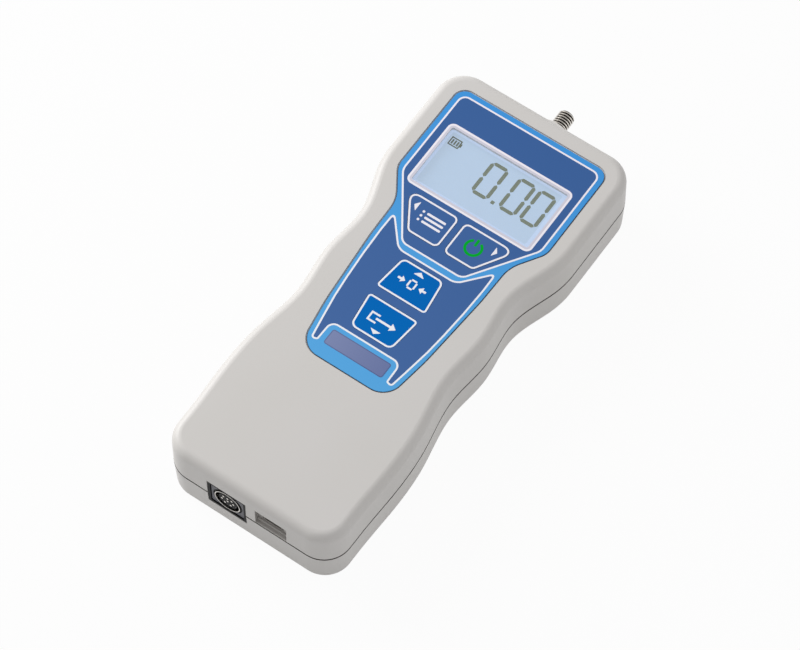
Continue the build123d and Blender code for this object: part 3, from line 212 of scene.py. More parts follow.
# The box of painted shade: its middle and half its size along each axis.
SHADED_BOX = {"X": (0.4, 15.6), "Y": (FOOT + 10, 12), "Z": (14.1, 7.2)}
axes = add(casing_abs, "SeparateXYZ", {}, {"Vector": spot})
depth = {"From Min": SHADE_START * MM, "From Max": SHADE_FULL * MM, "To Max": 0.6}
recess_shade = add(casing_abs, "MapRange", depth, {"Value": axes.outputs["Y"]})
for axis, (middle, half) in SHADED_BOX.items():
    span = {"operation": "COMPARE", 1: middle * MM, 2: half * MM}
    near = add(casing_abs, "Math", span, {0: axes.outputs[axis]})
    recess_shade = add(casing_abs, "Math", {"operation": "MULTIPLY"}, {0: recess_shade, 1: near})
# Painted shade: inside the openings of the foot the casing's colour darkens towards #8E8A86.
recess_shaded = add(casing_abs, "Mix", {"data_type": "RGBA", 7: colour("#8E8A86")}, {0: recess_shade, 6: tone.outputs[2]})
feed(casing_abs, casing_shader, recess_shaded, sheen, bump)
print("dust starts at", round(SHADE_START, 2), "mm")

# %% [markdown]
# ## Polyester film, screen printed from behind
# The face of the panel is a polyester film with a velvet finish, printed in several colours. Each ink
# is one material. The finish is an etched grain of 0.15 mm that keeps reflections low. Every ink gets
# a little lighter towards the handle. The grey ones get lighter towards the left: painted light of the lamp
# on the left.

# %% Film materials
VELVET = 0.15 * MM


def printed_film(name, first, last, axis="Y", specular=0.14):
    """One ink under the film's velvet surface, from one colour to another along an axis, downwards."""
    film, shader = surface(name, first, 0.36, Specular_IOR_Level=specular)
    low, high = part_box("front_panel")
    half = (high["XYZ".index(axis)] - low["XYZ".index(axis)]) / 2
    spot = add(film, "TexCoord").outputs["Object"]
    place = add(film, "Mapping", {"Location": middle_of("front_panel")}, {"Vector": spot})
    parts = add(film, "SeparateXYZ", {}, {"Vector": place})
    along = add(film, "MapRange", {"From Min": half, "From Max": -half}, {"Value": parts.outputs[axis]})
    tones = {"data_type": "RGBA", 6: colour(first), 7: colour(last)}
    tone = add(film, "Mix", tones, {0: along})
    grain = add(film, "TexNoise", {"Scale": 1 / VELVET, "Detail": 2}, {"Vector": place})
    sheen = add(film, "MapRange", {"To Min": 0.32, "To Max": 0.4}, {"Value": grain})
    bump = add(film, "Bump", {"Strength": 0.4, "Distance": 0.004 * MM}, {"Height": grain})
    feed(film, shader, tone, sheen, bump)
    return film


light_blue_ink = printed_film("polyester_film_light_blue", "#3F93DA", "#56A6E0")
dark_blue_ink = printed_film("polyester_film_dark_blue", "#385F99", "#42669F")
white_ink = printed_film("polyester_film_white", "#F0EAF2", "#EEF0F4")
border_ink = printed_film("polyester_film_off_white", "#CFCDDA", "#CFCDDA")
key_blue_ink = printed_film("polyester_film_key_blue", "#005AAE", "#0069B9", specular=0.05)
green_ink = printed_film("polyester_film_green", "#00A32A", "#00A82C", specular=0.05)
# The grey blue inks grow lighter towards the left: painted light of the lamp on the left.
plate_ink = printed_film("polyester_film_grey_blue", "#576597", "#8893B8", "X")
plate_edge_ink = printed_film("polyester_film_grey_edge", "#4C5A8A", "#6E789F", "X")
print("inks:", [m.name for m in bpy.data.materials if m.name.startswith("polyester")])

# %% [markdown]
# ## A grain for all other materials
# The rest differ in colour, gloss and the size of their grain. Moulded plastic has a pebble, turned
# metal has fine rings, rolled and milled metal has straight marks. All of these are one random grain,
# which is stretched where a tool has passed, and it changes tone, gloss and height together.

# %% Grained materials
def grained(name, first, second, roughness, grain, depth, stretch=(1, 1, 1), **sockets):
    """A surface with grains of so many millimetres; a stretch above 1 packs them along that axis."""
    material, shader = surface(name, first, roughness, **sockets)
    spot = add(material, "TexCoord").outputs["Object"]
    place = add(material, "Mapping", {"Scale": stretch}, {"Vector": spot})
    random = add(material, "TexNoise", {"Scale": 1 / (grain * MM), "Detail": 2}, {"Vector": place})
    tones = {"data_type": "RGBA", 6: colour(first), 7: colour(second)}
    tone = add(material, "Mix", tones, {0: random})
    gloss = {"To Min": roughness * 0.8, "To Max": roughness * 1.2}
    sheen = add(material, "MapRange", gloss, {"Value": random})
    bump = add(material, "Bump", {"Strength": 0.5, "Distance": depth * MM}, {"Height": random})
    feed(material, shader, tone, sheen, bump)
    return material


print("grains per metre at 0.4 mm:", 1 / (0.4 * MM))

# %% [markdown]
# ## Materials of the display
# A liquid crystal display is glass with a polariser in front and a lit plate behind. The polariser
# makes an even pale blue that glows, so more than half of its light is emission, the same all over.
# The window over it is clear acrylic, cast and polished, which shows only by its gloss.

# %% Display materials
lcd_glow = colour("#B2C8E0")
rim_glow = colour("#B9CEED")
# Glass under a polariser: flat and even, with a faint cloudiness. Most of its light comes from behind.
lcd_back = grained(
    "glass_polariser_pale_blue", "#596B7F", "#5C6E82", 0.3, 12, 0.001,
    Emission_Color=lcd_glow, Emission_Strength=0.7,
)
# Past the polariser's edge the lamp behind shows brighter.
lcd_rim = grained(
    "glass_polariser_light_rim", "#596678", "#5C697B", 0.3, 6, 0.001,
    Emission_Color=rim_glow, Emission_Strength=0.78,
)
# Liquid crystal that is switched on: a dull grey green with no shine of its own.
lcd_ink = grained("liquid_crystal_grey_green", "#5C6750", "#677259", 0.4, 0.5, 0.001, Specular_IOR_Level=0.2)
# Its fine signs look denser, because their lines are thinner than the gaps between them.
lcd_fine_ink = grained(
    "liquid_crystal_dense_green", "#3C4A30", "#465438", 0.4, 0.5, 0.001, Specular_IOR_Level=0.2,
)
# Cast and polished acrylic: clear, with a soft wave in its gloss.
window_acrylic = grained("acrylic_polished_clear", "#F4F8FC", "#F6FAFE", 0.06, 8, 0.001, IOR=1.49, Alpha=0.06)
# Moulded acrylic that spreads the lamp's light: milky white.
light_guide = grained("acrylic_moulded_milky", "#E4EDF4", "#F0F6FA", 0.25, 2.0, 0.004, IOR=1.49)
display_materials = (lcd_back, lcd_rim, lcd_ink, lcd_fine_ink, window_acrylic, light_guide)
print("display materials:", [m.name for m in display_materials])

# %% [markdown]
# ## Metals
# Metals differ by how they were worked. The grain is stretched along the tool's path: round the axis
# of a turned part, which runs along Y for the shaft and along Z for the bushes, and straight on
# milled and rolled plates. A metal keeps the shader's own IOR.

# %% Metal materials
# Turned and nickelled steel: bright, with fine rings round the shaft.
turned_steel = grained(
    "steel_turned_nickelled", "#E6E2DD", "#F2EFEC", 0.14, 1.2, 0.003, (1, 12, 1), Metallic=1,
)
# The crests of a thread are burnished by the die: bright, and sharp in their reflections.
thread_crest = grained("steel_thread_burnished", "#DAD6D0", "#E6E2DD", 0.2, 0.8, 0.003, Metallic=1)
# The lower flanks and the root of the thread are coloured dark: painted shade in its grooves.
thread_root_painted_shade = grained("steel_thread_painted_shade", "#38342F", "#4A4540", 0.3, 0.6, 0.003, Metallic=1)
# Pressed and zinc plated steel: a cloudy grey.
plated_steel = grained("steel_pressed_zinc_plated", "#B4B4B0", "#C8C8C4", 0.34, 0.6, 0.004, Metallic=1)
# Rolled steel sheet: darker, with faint streaks along the roll.
rolled_steel = grained("steel_rolled_bare", "#96948F", "#A8A6A2", 0.42, 2.0, 0.006, (1, 8, 1), Metallic=1)
# Nickel over brass: smooth and slightly warm.
nickel = grained("brass_nickel_plated", "#C4C0BA", "#D8D4CE", 0.22, 0.8, 0.003, Metallic=1)
# Milled aluminium: pale, with straight cutter marks.
aluminium = grained("aluminium_milled", "#BFC0C2", "#CFD0D2", 0.32, 1.6, 0.006, (8, 1, 1), Metallic=1)
# Turned brass: yellow, with rings round each bush.
brass = grained("brass_turned", "#C6A45C", "#D8B86E", 0.28, 1.0, 0.004, (1, 1, 10), Metallic=1)
print("metals:", [m.name for m in bpy.data.materials if m.name.startswith(("steel", "brass", "aluminium"))])

# %% [markdown]
# ## Plastics, boards and the rest
# The inner parts are of materials any repair shop knows: black nylon from a mould, green lacquer over
# glass cloth, silicone rubber, copper foil on polyimide, and a printed label.

# %% Plain materials
# Moulded nylon: near black with a low sheen.
black_nylon = grained(
    "nylon_moulded_black", "#060608", "#0C0C0E", 0.5, 0.4, 0.01, IOR=1.53, Specular_IOR_Level=0.1,
)
# The same nylon in dark grey, for the face of the round socket.
socket_grey = grained(
    "nylon_moulded_dark_grey", "#5E5E64", "#6A6A70", 0.45, 0.4, 0.008, IOR=1.53, Specular_IOR_Level=0.2,
)
# Acetal of the switch stems: slippery and a little glossier.
stem_acetal = grained("acetal_moulded_black", "#202021", "#2A2A2B", 0.35, 0.5, 0.006, IOR=1.48)
# Silicone strips that carry the display's contacts: fine dark stripes.
silicone = grained("silicone_rubber_striped", "#2B2B2C", "#3A3A3A", 0.6, 0.2, 0.01, (6, 1, 1), IOR=1.41)
# Extruded cable sheath.
cable_pvc = grained("pvc_extruded_black", "#1D1D1E", "#2A2A2A", 0.45, 0.8, 0.01, IOR=1.53)
# Copper foil on polyimide: an orange brown film.
gauge_foil = grained("polyimide_foil_copper", "#B9772F", "#CE8F45", 0.3, 0.3, 0.006, IOR=1.7)
# Shrunk sleeve of the cells: glossy green with slow folds.
battery_sleeve = grained("pvc_shrink_sleeve_green", "#2F6B4A", "#37785A", 0.35, 3.0, 0.02, IOR=1.53)
# Silver grey polyester label: satin and even.
label_film = grained("polyester_label_silver_grey", "#BDBDBB", "#C6C6C4", 0.45, 0.25, 0.004, IOR=1.57)
# Solder lacquer over woven glass: the weave just shows.
board_lacquer = grained("glass_epoxy_green_lacquer", "#0E4E2A", "#156036", 0.3, 0.6, 0.01, IOR=1.55)
# Grey ink on the rear label.
label_ink = grained("label_ink_grey", "#6C6F72", "#787B7E", 0.5, 0.4, 0.002, IOR=1.5)
# Acrylic glue under the film, coloured dark: painted shade in the gap round the film.
glue_painted_shade = grained("acrylic_glue_painted_shade", "#4A403C", "#554A45", 0.6, 0.5, 0.004, IOR=1.48)
# The groove between the covers: the same ABS, painted dark as the groove's shadow.
seam_shadow = grained(
    "abs_groove_painted_shadow", "#25211F", "#302B28", 0.8, 0.6, 0.004, IOR=1.54, Specular_IOR_Level=0.1,
)
print("all materials:", len(bpy.data.materials))

# %% [markdown]
# ## Dressing the CAD nodes
# The record says which material slot each CAD node belongs to, so one table from slot to material
# dresses them all. A few nodes are told apart by name: the face of the round socket is dark plastic,
# while its ring is nickel.

# %% Materials of the CAD nodes
BY_SLOT = {
    "casing": casing_abs, "film": light_blue_ink, "key_film": dark_blue_ink, "window": window_acrylic,
    "lcd_glass": lcd_back, "light_guide": light_guide, "black_plastic": black_nylon,
    "stem_plastic": stem_acetal, "contact_rubber": silicone, "board": board_lacquer,
    "screw_steel": plated_steel, "steel": rolled_steel, "aluminium": aluminium, "brass": brass,
    "plated": nickel, "gauge_foil": gauge_foil, "lead": cable_pvc, "battery": battery_sleeve,
    "label": label_film,
}
BY_NODE = {
    "data_socket_plate": socket_grey, "measuring_shaft": turned_steel,
    "zero_key": key_blue_ink, "send_key": key_blue_ink,
}
for part in frame["record"]["subparts"]:
    node = frame["nodes"][part["node"]]
    material = BY_NODE.get(part["node"], BY_SLOT[part["material_slot"]])
    if not node.material_slots:
        node.data.materials.append(material)
    for slot in node.material_slots:
        slot.material = material

# %% [markdown]
# ## Tools for modelling
# New pieces are made as by hand: a primitive, then edit mode. Operators act on whatever is selected,
# so each starts by selecting one object alone, and then its faces, edges or points by a test.

# %% Helpers for modelling
def only(piece):
    """Selects one object and nothing else."""
    bpy.ops.object.select_all(action="DESELECT")
    piece.select_set(True)
    bpy.context.view_layer.objects.active = piece


def edit(piece, kind, test=lambda part: True):
    """Opens edit mode with all faces, edges or points selected, or those for which a test holds."""
    only(piece)
    bpy.ops.object.mode_set(mode="EDIT")
    bpy.ops.mesh.select_mode(type=kind)
    bpy.ops.mesh.select_all(action="DESELECT")
    bpy.ops.object.mode_set(mode="OBJECT")
    mesh = piece.data
    for part in {"VERT": mesh.vertices, "EDGE": mesh.edges, "FACE": mesh.polygons}[kind]:
        part.select = test(part)
    bpy.ops.object.mode_set(mode="EDIT")


def leave_edit():
    """Back to object mode."""
    bpy.ops.object.mode_set(mode="OBJECT")


def apply_modifier(piece, kind, **settings):
    """Adds a modifier, sets it and applies it at once."""
    only(piece)
    modifier = piece.modifiers.new(kind.lower(), kind)
    for name, value in settings.items():
        setattr(modifier, name, value)
    bpy.ops.object.modifier_apply(modifier=modifier.name)


def cut(piece, tool, operation="DIFFERENCE"):
    """Cuts one solid with another, which is used up."""
    apply_modifier(piece, "BOOLEAN", operation=operation, object=tool, solver="EXACT")
    bpy.data.objects.remove(tool)


def joined(name, pieces):
    """Several objects made one mesh."""
    only(pieces[0])
    for piece in pieces:
        piece.select_set(True)
    bpy.ops.object.join()
    pieces[0].name = pieces[0].data.name = name
    return pieces[0]


def merged(name, pieces):
    """Several solids made one, so that no two faces lie in each other."""
    whole = pieces[0]
    for piece in pieces[1:]:
        cut(whole, piece, "UNION")
    whole.name = whole.data.name = name
    return whole


def report(piece):
    """Prints a finished piece's size in millimetres and its triangles."""
    points = [v.co for v in piece.data.vertices]
    size = [(max(p[i] for p in points) - min(p[i] for p in points)) * 1000 for i in range(3)]
    triangles = sum(len(face.vertices) - 2 for face in piece.data.polygons)
    print(piece.name, [round(s, 2) for s in size], "mm,", triangles, "triangles")


bpy.ops.object.select_all(action="DESELECT")
print("selected now:", len(bpy.context.selected_objects))

# %% [markdown]
# ## A printed shape
# Ink is far thinner than a hair, but a thin plate is easier to colour sharply than a picture. A plate
# starts as a filled circle with as many points as the shape has corners. The points go to the
# corners, each corner is rounded by a vertex bevel, and the face is extruded to its thickness. For a
# fillet of radius r between edges at an angle a, the bevel starts r / tan(a / 2) from the corner.

# %% Plates
# Heights of the print: its underside, and the tops of the fields, the keys and their signs.
INK_LOW = 27.27
FIELD_TOP = 27.32
KEY_TOP = 27.32
SIGN_LOW, SIGN_TOP = KEY_TOP - 0.02, 27.34


def outline(name, corners, height):
    """A flat face with rounded corners: anticlockwise (x, y, radius), in millimetres."""
    bpy.ops.object.select_all(action="DESELECT")
    bpy.ops.mesh.primitive_circle_add(vertices=len(corners), fill_type="NGON")
    face = bpy.context.object
    face.name = face.data.name = name
    for point, (x, y, radius) in zip(face.data.vertices, corners):
        point.co = mm(x, y, height)
    for index, (x, y, radius) in enumerate(corners):
        if radius <= 0:
            continue
        here = Vector((x, y))
        one = Vector(corners[index - 1][:2]) - here
        other = Vector(corners[(index + 1) % len(corners)][:2]) - here
        start = radius / math.tan(one.angle(other) / 2) * MM
        spot = Vector(mm(x, y, height))
        edit(face, "VERT", lambda v: (v.co - spot).length < 1e-6)
        # About three steps a millimetre of radius, and few where the corner is nearly straight.
        steps = max(6, round(3 * radius)) if start > 0.2 * MM else 3
        bpy.ops.mesh.bevel(offset_type="ABSOLUTE", offset=start, segments=steps, affect="VERTICES")
        leave_edit()
    return face


def faced_out(piece):
    """Turns every face of a closed piece outwards."""
    edit(piece, "FACE")
    bpy.ops.mesh.normals_make_consistent(inside=False)
    leave_edit()
    return piece


def plate(name, corners, low, high, ink):
    """A printed shape of one ink, as a plate between two heights in millimetres."""
    piece = outline(name, corners, low)
    edit(piece, "FACE")
    bpy.ops.mesh.extrude_region_move(TRANSFORM_OT_translate={"value": mm(0, 0, high - low)})
    leave_edit()
    piece.data.materials.append(ink)
    return faced_out(piece)


def lined(piece, width, ink):
    """Gives a plate's top an inner field in a second ink, inside a line of the first."""
    top = max(v.co.z for v in piece.data.vertices)
    edit(piece, "FACE", lambda face: face.normal.z > 0.9 and abs(face.center.z - top) < 1e-6)
    bpy.ops.mesh.inset(thickness=width * MM)
    leave_edit()
    piece.data.materials.append(ink)
    for face in piece.data.polygons:
        if face.select:
            face.material_index = 1


def mirrored(half):
    """The corners of a whole shape from those of its right half, from its lowest to its highest."""
    return half + [(-x, y, radius) for x, y, radius in reversed(half)]


test = plate("test_plate", mirrored([(5, -5, 1), (5, 5, 1)]), 0, 1, white_ink)
print("a 10 mm plate with 1 mm corners has", len(test.data.vertices), "points")
bpy.data.objects.remove(test)

# %% [markdown]
# ## Outlines of the window and the keys
# The window and the keys interrupt the printing, so their outlines are needed more than once: for the
# holes in the dark fields and for the lines on the keys. They are written once, with the slot round
# a key left free, because a key moves by 0.35 mm when it is pressed.

# %% Outlines of window and keys
WINDOW = mirrored([(24.2, 37.5, 2.2), (24.2, 64.4, 2.2)])
POWER = [(12.7, 22.35, 2.0), (20.95, 35.6, 2.6), (1.2, 35.6, 2.0), (1.2, 22.35, 2.0)]
INFO = [(-x, y, radius) for x, y, radius in reversed(POWER)]
ZERO = mirrored([(9.5, 0.3, 1.2), (7.9, 13.4, 2.2)])
SEND = mirrored([(7.9, -16.4, 2.4), (9.5, -3.2, 1.2)])
# The slot round a key and the width of a printed line.
SLOT = 0.15
LINE = 0.62


def grown(corners, margin):
    """A shape's corners moved outwards by a margin, or inwards by a negative one."""
    moved = []
    for index, (x, y, radius) in enumerate(corners):
        here = Vector((x, y))
        before = (here - Vector(corners[index - 1][:2])).normalized()
        after = (Vector(corners[(index + 1) % len(corners)][:2]) - here).normalized()
        out_before = Vector((before.y, -before.x))
        out_after = Vector((after.y, -after.x))
        middle = (out_before + out_after).normalized()
        place = here + middle * margin / middle.dot(out_before)
        turn = math.copysign(margin, margin * before.cross(after))
        moved.append((place.x, place.y, max(radius + turn, 0.1)))
    return moved


def cut_out(piece, corners):
    """Cuts a hole of this outline through a plate."""
    heights = [v.co.z * 1000 for v in piece.data.vertices]
    tool = plate("cutter", corners, min(heights) - 1, max(heights) + 1, piece.data.materials[0])
    cut(piece, tool)


hole = [(round(x, 2), round(y, 2)) for x, y, radius in grown(POWER, SLOT)]
print("the power key's outline grown by its slot:", hole)

# %% [markdown]
# ## The film and its gap
# The film lies in a recess of the cover, and a narrow gap round it shows dark where the wall of the
# recess shades it. The film is cut a little smaller than the recess, with its holes for window and
# keys, and a thin plate of glue, coloured dark as painted shade, reaches a little way out from under it. It
# stands for the CAD film.

# %% Film
# The CAD recess's outline; the film and the glue end this far inside it.
PANEL = mirrored([
    (16.9, -31.6, 7.5), (19.6, -13.5, 80), (21.8, 14.5, 60),
    (22.2, 29.6, 12), (29.4, 40.6, 7), (29.4, 77.6, 4.5),
])
FILM_LOW, FILM_TOP = 26.8, 27.3
GLUE_LOW, GLUE_TOP = FILM_LOW + 0.005, FILM_LOW + 0.05
FILM_GAP = 0.42
GLUE_EDGE = 0.22
film = plate("panel_film", grown(PANEL, -FILM_GAP), FILM_LOW + 0.03, FILM_TOP, light_blue_ink)
# The glue is dark: painted shade in the gap round the film.
glue = plate("panel_glue", grown(PANEL, -GLUE_EDGE), GLUE_LOW, GLUE_TOP, glue_painted_shade)
for hole in (WINDOW, grown(INFO, SLOT), grown(POWER, SLOT), grown(ZERO, SLOT), grown(SEND, SLOT)):
    cut_out(film, hole)
    cut_out(glue, hole)
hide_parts("front_panel")
for piece in (film, glue):
    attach(piece, "casing")
    report(piece)

# %% [markdown]
# ## The dark field of the head
# The large dark blue field surrounds the display and the two side keys, and a white line runs round
# it. It could be three plates; one plate with an inset top keeps line and field exactly together.

# %% Head field
HEAD = mirrored([(11.75, 17.55, 3.5), (27.3, 40.4, 5.0), (27.3, 75.4, 3.0)])
head_field = plate("head_field", HEAD, INK_LOW, FIELD_TOP, white_ink)
lined(head_field, LINE, dark_blue_ink)
for hole in (WINDOW, grown(INFO, SLOT), grown(POWER, SLOT)):
    cut_out(head_field, hole)
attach(head_field, "casing")
report(head_field)

# %% [markdown]
# ## The dark field of the grip
# Below it a second field follows the waist of the gauge, with two pointed horns at its top and two
# legs that hold the name plate between them. The legs are so narrow that an inset could turn itself
# inside out there. So the white line is one plate, and the dark field is a second one that is
# smaller by the line and 0.005 mm higher.

# %% Grip field
RIGHT_SIDE = [
    (15.6, -27.3, 1.2), (16.9, -19.5, 0), (18.3, -10.5, 0), (19.1, -2.5, 0),
    (19.8, 7.5, 0), (20.2, 18.0, 0), (20.1, 26.1, 1.1), (11.0, 15.5, 4.0),
]
INNER_SIDE = [(-13.2, -26.6, 0.9), (-13.0, -19.0, 2.3), (13.0, -19.0, 2.3), (13.2, -26.6, 0.9)]
GRIP = mirrored(RIGHT_SIDE) + INNER_SIDE
GRIP_TOP = FIELD_TOP + 0.005

grip_line = plate("grip_line", GRIP, INK_LOW, FIELD_TOP, white_ink)
grip_field = plate("grip_field", grown(GRIP, -LINE), INK_LOW, GRIP_TOP, dark_blue_ink)
for piece in (grip_line, grip_field):
    for hole in (grown(ZERO, SLOT), grown(SEND, SLOT)):
        cut_out(piece, hole)
    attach(piece, "casing")
    report(piece)

# %% [markdown]
# ## The name plate's place
# Between the legs sits a small grey blue field where a gauge carries its type. It stays bare here. It
# has a slightly darker edge, so it is a lined plate too.

# %% Name field
NAME = mirrored([(11.3, -26.4, 0.9), (11.3, -20.5, 0.9)])
name_field = plate("name_field", NAME, INK_LOW, FIELD_TOP, plate_edge_ink)
lined(name_field, 0.35, plate_ink)
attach(name_field, "casing")
report(name_field)

# %% [markdown]
# ## The key faces
# Each key has a white line just inside its edge. The two side keys are dark blue inside it, and the
# two middle ones a stronger blue. They ride on the keys, so they go down when a key is pressed.

# %% Key faces
KEYS = {
    "info": (INFO, dark_blue_ink), "power": (POWER, dark_blue_ink),
    "zero": (ZERO, key_blue_ink), "send": (SEND, key_blue_ink),
}
for key, (corners, ink) in KEYS.items():
    face = plate(key + "_face", grown(corners, -0.02), INK_LOW, KEY_TOP, white_ink)
    lined(face, LINE, ink)
    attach(face, key + "_key")
    report(face)

# %% [markdown]
# ## Signs on the keys
# Arrows point to the side a key scrolls to. In place of words the keys carry plain signs: a list for
# the menu, a nought between arrows for zero, an arrow that leaves a box for send, and the common
# sign for power. Arrows, bars and dots are plates, and each sign's plates are joined.

# %% Small shapes for signs
def bar(x0, x1, y0, y1, radius):
    """A rounded bar's corners from its sides."""
    return [(x1, y0, radius), (x1, y1, radius), (x0, y1, radius), (x0, y0, radius)]


def sign(name, key, shapes):
    """Joins white plates to a sign that rides on a key."""
    piece = merged(name, [plate(name, shape, SIGN_LOW, SIGN_TOP, white_ink) for shape in shapes])
    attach(piece, key + "_key")
    report(piece)


def arrow_head(x, y, dx, dy, half=1.95):
    """A triangle with its tip at x, y that points along dx, dy; its base lies the length of that away."""
    side_x = dy * half / math.hypot(dx, dy)
    side_y = dx * half / math.hypot(dx, dy)
    base = [(x - dx - side_x, y - dy + side_y), (x - dx + side_x, y - dy - side_y)]
    return [(*corner, 0.12) for corner in [(x, y)] + base]


print("a bar of 8 mm:", bar(-4, 4, 0, 0.8, 0.2))

# %% Signs of the side keys
rows = [31.2, 29.5, 27.8]
list_shapes = [bar(-10.9, -3.7, y - 0.42, y + 0.42, 0.3) for y in rows]
list_shapes += [bar(-12.7, -11.8, y - 0.45, y + 0.45, 0.4) for y in rows]
sign("info_sign", "info", [arrow_head(-16.4, 31.75, -1.5, 0)] + list_shapes)
sign("power_arrow", "power", [arrow_head(15.9, 31.75, 1.3, 0)])

# %% Signs of the middle keys
left_arrow = [bar(-5.4, -3.9, 6.35, 7.15, 0.1), arrow_head(-2.6, 6.75, 1.5, 0, 1.3)]
right_arrow = [bar(3.9, 5.4, 6.35, 7.15, 0.1), arrow_head(2.6, 6.75, -1.5, 0, 1.3)]
nought = [bar(-1.5, -0.85, 5.5, 8.0, 0.3), bar(0.85, 1.5, 5.5, 8.0, 0.3)]
nought += [bar(-1.0, 1.0, 8.0, 8.65, 0.3), bar(-1.0, 1.0, 4.85, 5.5, 0.3)]
sign("zero_sign", "zero", [arrow_head(0, 12.1, 0, 1.6, 2.0)] + left_arrow + right_arrow + nought)

box = [bar(-5.0, -4.35, -11.6, -8.0, 0.1), bar(-5.0, -1.6, -8.65, -8.0, 0.1)]
box += [bar(-5.0, -1.6, -11.6, -10.95, 0.1)]
leaving = [bar(-2.4, 3.2, -10.2, -9.4, 0.1), arrow_head(5.2, -9.8, 2.0, 0, 1.5)]
sign("send_sign", "send", [arrow_head(0, -14.9, 0, -1.5, 2.0)] + box + leaving)

# %% [markdown]
# ## The power sign
# The sign is a ring with a gap at its top and a bar in the gap. A circle's edge is extruded and
# scaled inwards to a flat ring, the faces in the gap are deleted, and the rest is extruded.

# %% Power sign
POWER_X, POWER_Y = 8.5, 29.1
RING_RADIUS, RING_SHARE = 3.25, 0.72
MOUTH_HALF = 1.35
middle = mm(POWER_X, POWER_Y, SIGN_LOW)
bpy.ops.object.select_all(action="DESELECT")
bpy.ops.mesh.primitive_circle_add(
    vertices=72, radius=RING_RADIUS * MM, fill_type="NOTHING", location=middle,
)
power_ring = bpy.context.object
bpy.ops.object.transform_apply(location=True)
edit(power_ring, "EDGE")
bpy.ops.mesh.extrude_region_move()
bpy.ops.transform.resize(value=(RING_SHARE, RING_SHARE, 1), center_override=middle)
leave_edit()


def in_mouth(face):
    """True for the ring's faces in the gap at its top."""
    near = abs(face.center.x - POWER_X * MM) < MOUTH_HALF * MM
    return near and face.center.y > (POWER_Y + 1.5) * MM


edit(power_ring, "FACE", in_mouth)
bpy.ops.mesh.delete(type="FACE")
leave_edit()
edit(power_ring, "FACE")
bpy.ops.mesh.extrude_region_move(TRANSFORM_OT_translate={"value": mm(0, 0, SIGN_TOP - SIGN_LOW)})
leave_edit()
power_ring.data.materials.append(green_ink)
stroke = bar(POWER_X - 0.5, POWER_X + 0.4, 29.9, 32.6, 0.15)
power_bar = plate("power_bar", stroke, SIGN_LOW, SIGN_TOP, green_ink)
power_sign = merged("power_sign", [faced_out(power_ring), power_bar])
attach(power_sign, "power_key")
report(power_sign)

# %% [markdown]
# ## The border of the window
# A border is printed round the inside of the window: a white line, and a greyer one inside it. It is
# a lined plate again, and its middle is cut away through the whole thickness.

# %% Window border
WHITE_WIDTH, BORDER_WIDTH = 0.7, 1.5
border = plate("window_border", WINDOW, INK_LOW, FIELD_TOP, white_ink)
lined(border, WHITE_WIDTH, border_ink)
cut_out(border, grown(WINDOW, -BORDER_WIDTH))
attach(border, "casing")
report(border)

# %% [markdown]
# ## What the display shows
# Digits on such a display are made of seven bars with mitred ends. One standing and one lying bar are
# modelled, copied to a nought, and the nought is copied to its places. They lie on the display's
# glass, 2 mm under the window, so they shift against the window as the eye moves.

# %% Display rim and bars
GLASS_TOP = 25.2
LCD_LOW, LCD_TOP = GLASS_TOP - 0.02, 25.23
rim = plate("display_rim", grown(WINDOW, -0.3), LCD_LOW, LCD_TOP, lcd_rim)
cut_out(rim, bar(-22.2, 20.8, 40.7, 62.6, 0.6))
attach(rim, "casing")
report(rim)

DIGIT_WIDTH, DIGIT_HEIGHT, STROKE, GAP = 6.9, 13.9, 1.3, 0.26


def lcd_bar(length, turned):
    """One mitred bar of a digit, lying or standing, with its middle at 0, 0."""
    long, half = length / 2, STROKE / 2
    shape = [
        (-long + half, -half, 0), (long - half, -half, 0), (long, 0, 0),
        (long - half, half, 0), (-long + half, half, 0), (-long, 0, 0),
    ]
    if turned:
        shape = [(-y, x, radius) for x, y, radius in shape]
    return plate("digit_bar", shape, LCD_LOW, LCD_TOP, lcd_ink)


def moved_copy(piece, x, y):
    """A copy of a piece with its own mesh, moved by x and y in millimetres."""
    only(piece)
    bpy.ops.object.duplicate()
    twin = bpy.context.object
    edit(twin, "VERT")
    bpy.ops.transform.translate(value=mm(x, y, 0))
    leave_edit()
    return twin


lying = lcd_bar(DIGIT_WIDTH - STROKE - GAP, False)
standing = lcd_bar((DIGIT_HEIGHT - STROKE) / 2 - GAP, True)
report(lying)
report(standing)

# %% Digits
# Places were read in the plane of the window. The glass lies 2 mm lower, so they shift by this much.
SHIFT_X, SHIFT_Y = -0.65, 0.93
side = (DIGIT_WIDTH - STROKE) / 2
top = (DIGIT_HEIGHT - STROKE) / 2
bars = [moved_copy(lying, 0, y) for y in (-top, top)]
bars += [moved_copy(standing, x, y) for x in (-side, side) for y in (-top / 2, top / 2)]
for bar_piece in (lying, standing):
    bpy.data.objects.remove(bar_piece)
nought = joined("nought", bars)
digits = [moved_copy(nought, x + SHIFT_X, 53.0 + SHIFT_Y) for x in (-1.2, 9.45, 17.45)]
bpy.data.objects.remove(nought)
dot = bar(3.4 + SHIFT_X, 4.65 + SHIFT_X, 46.1 + SHIFT_Y, 47.35 + SHIFT_Y, 0)
point = plate("point", dot, LCD_LOW, LCD_TOP, lcd_ink)
display_digits = joined("display_digits", digits + [point])
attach(display_digits, "casing")
report(display_digits)

# %% [markdown]
# ## Battery sign of the display
# A small sign in the corner shows the charge: a frame with a nib and three bars. The frame is a
# plate with its middle cut away, and the bars are one bar and its copies.

# %% Battery sign
def lcd_shape(name, shape):
    """A piece of the display's fine ink on its glass."""
    return plate(name, shape, LCD_LOW, LCD_TOP, lcd_fine_ink)


